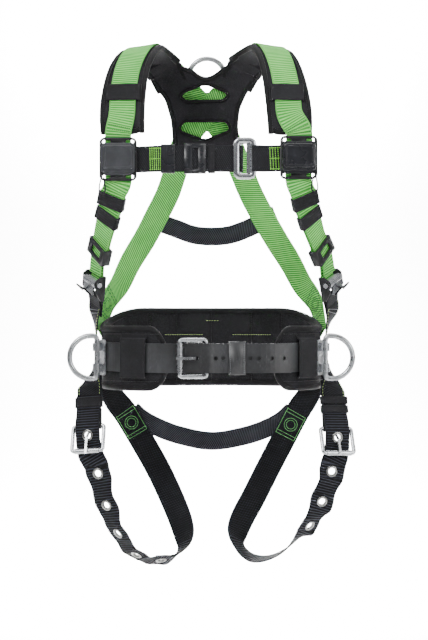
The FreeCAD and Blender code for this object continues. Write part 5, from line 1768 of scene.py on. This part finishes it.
class HARNESS_OT_leather(bpy.types.Operator):
    """Leather waist belt, its keeper and the sewing on them"""
    bl_idname = "harness.leather"
    bl_label = "Leather belt"

    def execute(self, context):
        for node in ("belt_back_strap", "belt_tongue_strap", "belt_buckle_strap"):
            dress(node, "leather")
        softened("belt_keeper", "leather", 0.8, "leather", body="keeper")
        lines = []
        for z in (-22.5, 18.5):
            for a, b, off in ((-262, D_ARC["l"] - 22, 0), (D_ARC["r"] + 22, 262, 0)):
                run = max(4, int(abs(b - a) / 5))
                lines.append([waist(a + (b - a) * k / run, ON_PAD + LEATHER_T / 2 + 0.15 + off, z)[0]
                              for k in range(run + 1)])
        stitched("belt_stitches", lines, "grey_thread", 4.6, 3.2, 0.4)
        edge = []
        top = LEATHER_PLY + LEATHER_T / 2 + 0.5 + 2.4 + 0.25
        for a in (-64.0, -41.0):
            edge.append([BELT.at(a, -24 + 48 * k / 16, top) for k in range(17)])
        stitched("keeper_stitches", edge, "grey_thread", 3.6, 2.6, 0.4, body="keeper")
        return {"FINISHED"}


class HARNESS_OT_chest_boxes(bpy.types.Operator):
    """Chest boxes, chest buckle frames and the cords on the boxes"""
    bl_idname = "harness.chest_boxes"
    bl_label = "Chest boxes and buckle"

    def execute(self, context):
        shells = []
        for side in "lr":
            softened("chest_box_base_" + side, "plastic", 0.9, "black_plastic")
            f = BOX[side]
            top = WEB_T / 2 + GAP + 4 + GAP
            finish = "grey_plastic" if side == "l" else "gloss_plastic"
            swell = 0.0 if side == "l" else 1.6
            shell = stacked_plate("shell", f, [
                (-1.5, 0, 25.2, 28.4, 7, top), (-1.5, 0, 26.0, 29.2, 7, top + 0.8),
                (-1.5, 0, 26.0, 29.2, 7, top + 3.6), (-1.5, 0, 24.6, 27.8, 6.4, top + 5.6 + swell),
                (-2.5, 0, 20.6, 25.4, 4.6, top + 6.2 + swell),
                (-2.5, 0, 20.2, 25.0, 4.4, top + 8.2 + swell),
                (-2.5, 0, 19.0, 23.8, 4.0, top + 9.0 + swell),
                (-2.5, 0, 16.2, 21.2, 2.6, top + 9.0 + swell),
                (-2.5, 0, 15.7, 20.7, 2.4, top + 8.2 + swell)])
            paint(shell, look(finish))
            modified(shell, ("BEVEL", {"width": 0.9 * MM, "segments": 3, "limit_method": "ANGLE",
                                       "angle_limit": math.radians(25)}))
            shells.append(shell)
            lip = stacked_plate("lip", f, [
                (24.4, 0, 3.4, 24.0, 2.6, top - 0.2), (24.4, 0, 3.4, 24.0, 2.6, top + 3.0 + swell),
                (24.4, 0, 2.4, 23.0, 2.0, top + 4.2 + swell)])
            paint(lip, look(finish))
            shells.append(lip)
            inner = -1 if side == "l" else 1
            self.loop(side, f, inner)
        settle(joined("chest_box_shells", shells), None, "black_plastic", "chest_box_covers")
        dress("chest_inner_frame", "bright_zinc")
        self.mating_frame()
        return {"FINISHED"}

    def mating_frame(self):
        """Forged rounded frame with a cross bar that the right chest strap turns round."""
        mid = Local((57.8, -122.3, CHEST_Z), (1, 0, 0), (0, -1, 0))
        path = rounded_rectangle(14.6, WEB_W / 2 + 8.2, 7.0, 8)
        loop = []
        for i, (a, b) in enumerate(path):
            before, after = path[i - 1], path[(i + 1) % len(path)]
            da, db = after[0] - before[0], after[1] - before[1]
            size = math.hypot(da, db)
            loop.append((mid.at(a, b, 0), (mid.a * db - mid.b * da) / size, mid.c))
        profile = [(5.2 * math.cos(f), 2.2 * math.sin(f))
                   for f in (2 * math.pi * k / 14 for k in range(14))]
        ring = swept("mating_frame", loop, profile)
        bar = stacked_plate("bar", mid, [(6.5, 0, 2.6, WEB_W / 2 + 5, 2.4, -1.9),
                                         (6.5, 0, 3.7, WEB_W / 2 + 5, 3.5, -0.6),
                                         (6.5, 0, 3.7, WEB_W / 2 + 5, 3.5, 0.6),
                                         (6.5, 0, 2.6, WEB_W / 2 + 5, 2.4, 1.9)])
        settle(joined("chest_mating_frame", [ring, bar]), "bright_zinc", "zinc_steel",
               "chest_outer_frame")

    def loop(self, side, f, inner):
        """Thin braided cord threaded through the box's outer lower ear."""
        route = [Vector(f.at(a, inner * 27 + b, 7.3)) * MM for a, b in CORD_LOOP]
        curve = bpy.data.curves.new("box_loop_" + side, "CURVE")
        curve.dimensions = "3D"
        curve.bevel_depth = 1.2 * MM
        curve.bevel_resolution = 4
        curve.resolution_u = 8
        line = curve.splines.new("NURBS")
        line.points.add(len(route) - 1)
        for point, p in zip(line.points, route):
            point.co = (p.x, p.y, p.z, 1.0)
        line.order_u = 3
        line.use_endpoint_u = True
        cord = bpy.data.objects.new("box_loop_" + side, curve)
        bpy.context.scene.collection.objects.link(cord)
        curve.materials.append(look("cord"))
        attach(cord, BODY)
        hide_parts("box_cord_" + side)


class HARNESS_OT_hardware(bpy.types.Operator):
    """Rings, buckles, cams and plates in steel and nylon"""
    bl_idname = "harness.hardware"
    bl_label = "Metal hardware"

    def execute(self, context):
        for node in ("dorsal_d_ring", "side_d_ring_l", "side_d_ring_r", "side_d_plates",
                     "belt_buckle_frame", "belt_buckle_prong", "belt_buckle_roller"):
            dress(node, "zinc")
        for node in ("side_rivets", "cam_pins"):
            dress(node, "bright_zinc")
        softened("dorsal_plate", "grey_plastic", 1.0, "black_plastic")
        for side in "lr":
            for node in ("leg_buckle_frame_", "leg_buckle_prong_", "leg_buckle_roller_", "cam_"):
                dress(node + side, "bright_zinc")
            softened("cam_housing_" + side, "plastic", 0.8, "black_plastic")
            dress("cam_bail_" + side, "dark_steel")
        self.knurls()
        return {"FINISHED"}

    def knurls(self):
        """Raised rings pressed round the belt buckle's two arms."""
        spots = []
        for b in (-31.0, 31.0):
            for k in range(9):
                spots.append((BELT.at(8 + 3.0 * k, b, 0), BELT.a))
        rings("buckle_arm_ridges", spots, "zinc", "zinc_steel", BAR_R + 0.15, 0.75, 0.6)


class HARNESS_OT_stage(bpy.types.Operator):
    """Pale backdrop, softboxes and the camera"""
    bl_idname = "harness.stage"
    bl_label = "Stage"

    def execute(self, context):
        s = settings()
        # the floor runs back, then turns up through a wide radius into the wall
        profile = [(-STAGE_HALF, FLOOR_Z), (FLOOR_BACK, FLOOR_Z)]
        for turn in range(5, 95, 5):
            angle = math.radians(turn)
            profile.append((FLOOR_BACK + SWEEP_R * math.sin(angle),
                            FLOOR_Z + SWEEP_R - SWEEP_R * math.cos(angle)))
        profile.append((FLOOR_BACK + SWEEP_R, WALL_TOP))
        verts = []
        faces = []
        for x in (-STAGE_HALF, STAGE_HALF):
            verts += [(x / MM, y / MM, z / MM) for y, z in profile]
        n = len(profile)
        for i in range(n - 1):
            faces.append((i, n + i, n + i + 1, i + 1))
        sweep = new_mesh("backdrop_sweep", verts, faces)
        sweep.data.materials.append(backdrop("matt white paper", "fbfbfb"))
        for name, at, aim, size, power, spread in (
                ("key_softbox", (-1.9, -2.6, 2.4), (0, 0, 0.15), 1.6, s.light_power, 180),
                ("fill_softbox", (2.3, -2.2, 0.9), (0, 0, 0.05), 1.8, s.light_power * FILL_SHARE, 180),
                ("top_softbox", (0.2, 0.2, 2.6), (0, 0, 0.1), 1.8, s.light_power * TOP_SHARE, 180),
                ("floor_wash", (0, 3.0, 2.7), (0, 3.3, FLOOR_Z), 2.4, s.light_power * FLOOR_WASH, 78),
                ("wall_wash", (0, 4.2, 2.8), (0, 6.2, 0.4), 2.0, s.light_power * WALL_WASH, 120)):
            self.softbox(name, Vector(at), Vector(aim), size, power, spread)
        lens = bpy.data.cameras.new("front_camera")
        lens.lens = CAMERA_LENS
        lens.sensor_width = 36.0
        lens.clip_end = 40.0
        camera = bpy.data.objects.new("front_camera", lens)
        camera.location = (CAMERA_X, -s.camera_distance, CAMERA_Z)
        camera.rotation_euler = (math.radians(90), 0, 0)
        bpy.context.scene.collection.objects.link(camera)
        bpy.context.scene.camera = camera
        world = bpy.data.worlds.new("soft room")
        world.use_nodes = True
        tree = world.node_tree
        tree.nodes.clear()
        out = add(tree, "ShaderNodeOutputWorld")
        way = add(tree, "ShaderNodeTexCoord")
        axes = add(tree, "ShaderNodeSeparateXYZ", {0: way.outputs["Generated"]})
        rise = add(tree, "ShaderNodeMapRange", {0: axes.outputs[2], 1: -1.0, 2: 1.0})
        ramp = add(tree, "ShaderNodeValToRGB", {0: rise.outputs[0]})
        ramp.color_ramp.elements[0].color = colour("8b9096")
        ramp.color_ramp.elements[0].position = 0.3
        ramp.color_ramp.elements[1].color = colour("ffffff")
        ramp.color_ramp.elements[1].position = 0.72
        ramp.color_ramp.elements.new(0.46).color = colour("4b5058")
        sky = add(tree, "ShaderNodeBackground", {"Color": ramp.outputs[0], "Strength": 0.5})
        tree.links.new(sky.outputs[0], out.inputs[0])
        bpy.context.scene.world = world
        return {"FINISHED"}

    def softbox(self, name, at, aim, size, power, spread):
        """Square area light at one place, aimed at another."""
        data = bpy.data.lights.new(name, "AREA")
        data.shape = "SQUARE"
        data.size = size
        data.energy = power
        data.spread = math.radians(spread)
        light = bpy.data.objects.new(name, data)
        light.location = at
        light.rotation_euler = (aim - at).to_track_quat("-Z", "Y").to_euler()
        bpy.context.scene.collection.objects.link(light)
        return light


OPERATORS = (HARNESS_OT_pads, HARNESS_OT_green_webbing, HARNESS_OT_black_webbing,
             HARNESS_OT_keepers, HARNESS_OT_leather, HARNESS_OT_chest_boxes,
             HARNESS_OT_hardware, HARNESS_OT_stage)


class HARNESS_PT_panel(bpy.types.Panel):
    """Buttons for each group of pieces"""
    bl_idname = "HARNESS_PT_panel"
    bl_label = "Climbing harness"
    bl_space_type = "VIEW_3D"
    bl_region_type = "UI"
    bl_category = "Harness"

    def draw(self, context):
        layout = self.layout
        for key in ("green", "green_lit", "green_shade", "web_thickness", "pad_cap", "light_power",
                    "camera_distance"):
            layout.prop(context.scene.harness, key)
        for op in OPERATORS:
            layout.operator(op.bl_idname)


CLASSES = (HarnessSettings,) + OPERATORS + (HARNESS_PT_panel,)


def register():
    for c in CLASSES:
        bpy.utils.register_class(c)
    bpy.types.Scene.harness = PointerProperty(type=HarnessSettings)


def unregister():
    del bpy.types.Scene.harness
    for c in reversed(CLASSES):
        bpy.utils.unregister_class(c)


def main():
    register()
    for op in OPERATORS:
        group, name = op.bl_idname.split(".")
        done = getattr(getattr(bpy.ops, group), name)()
        if "FINISHED" not in done:
            raise RuntimeError(op.bl_idname + " did not finish")


if __name__ == "__main__":
    main()
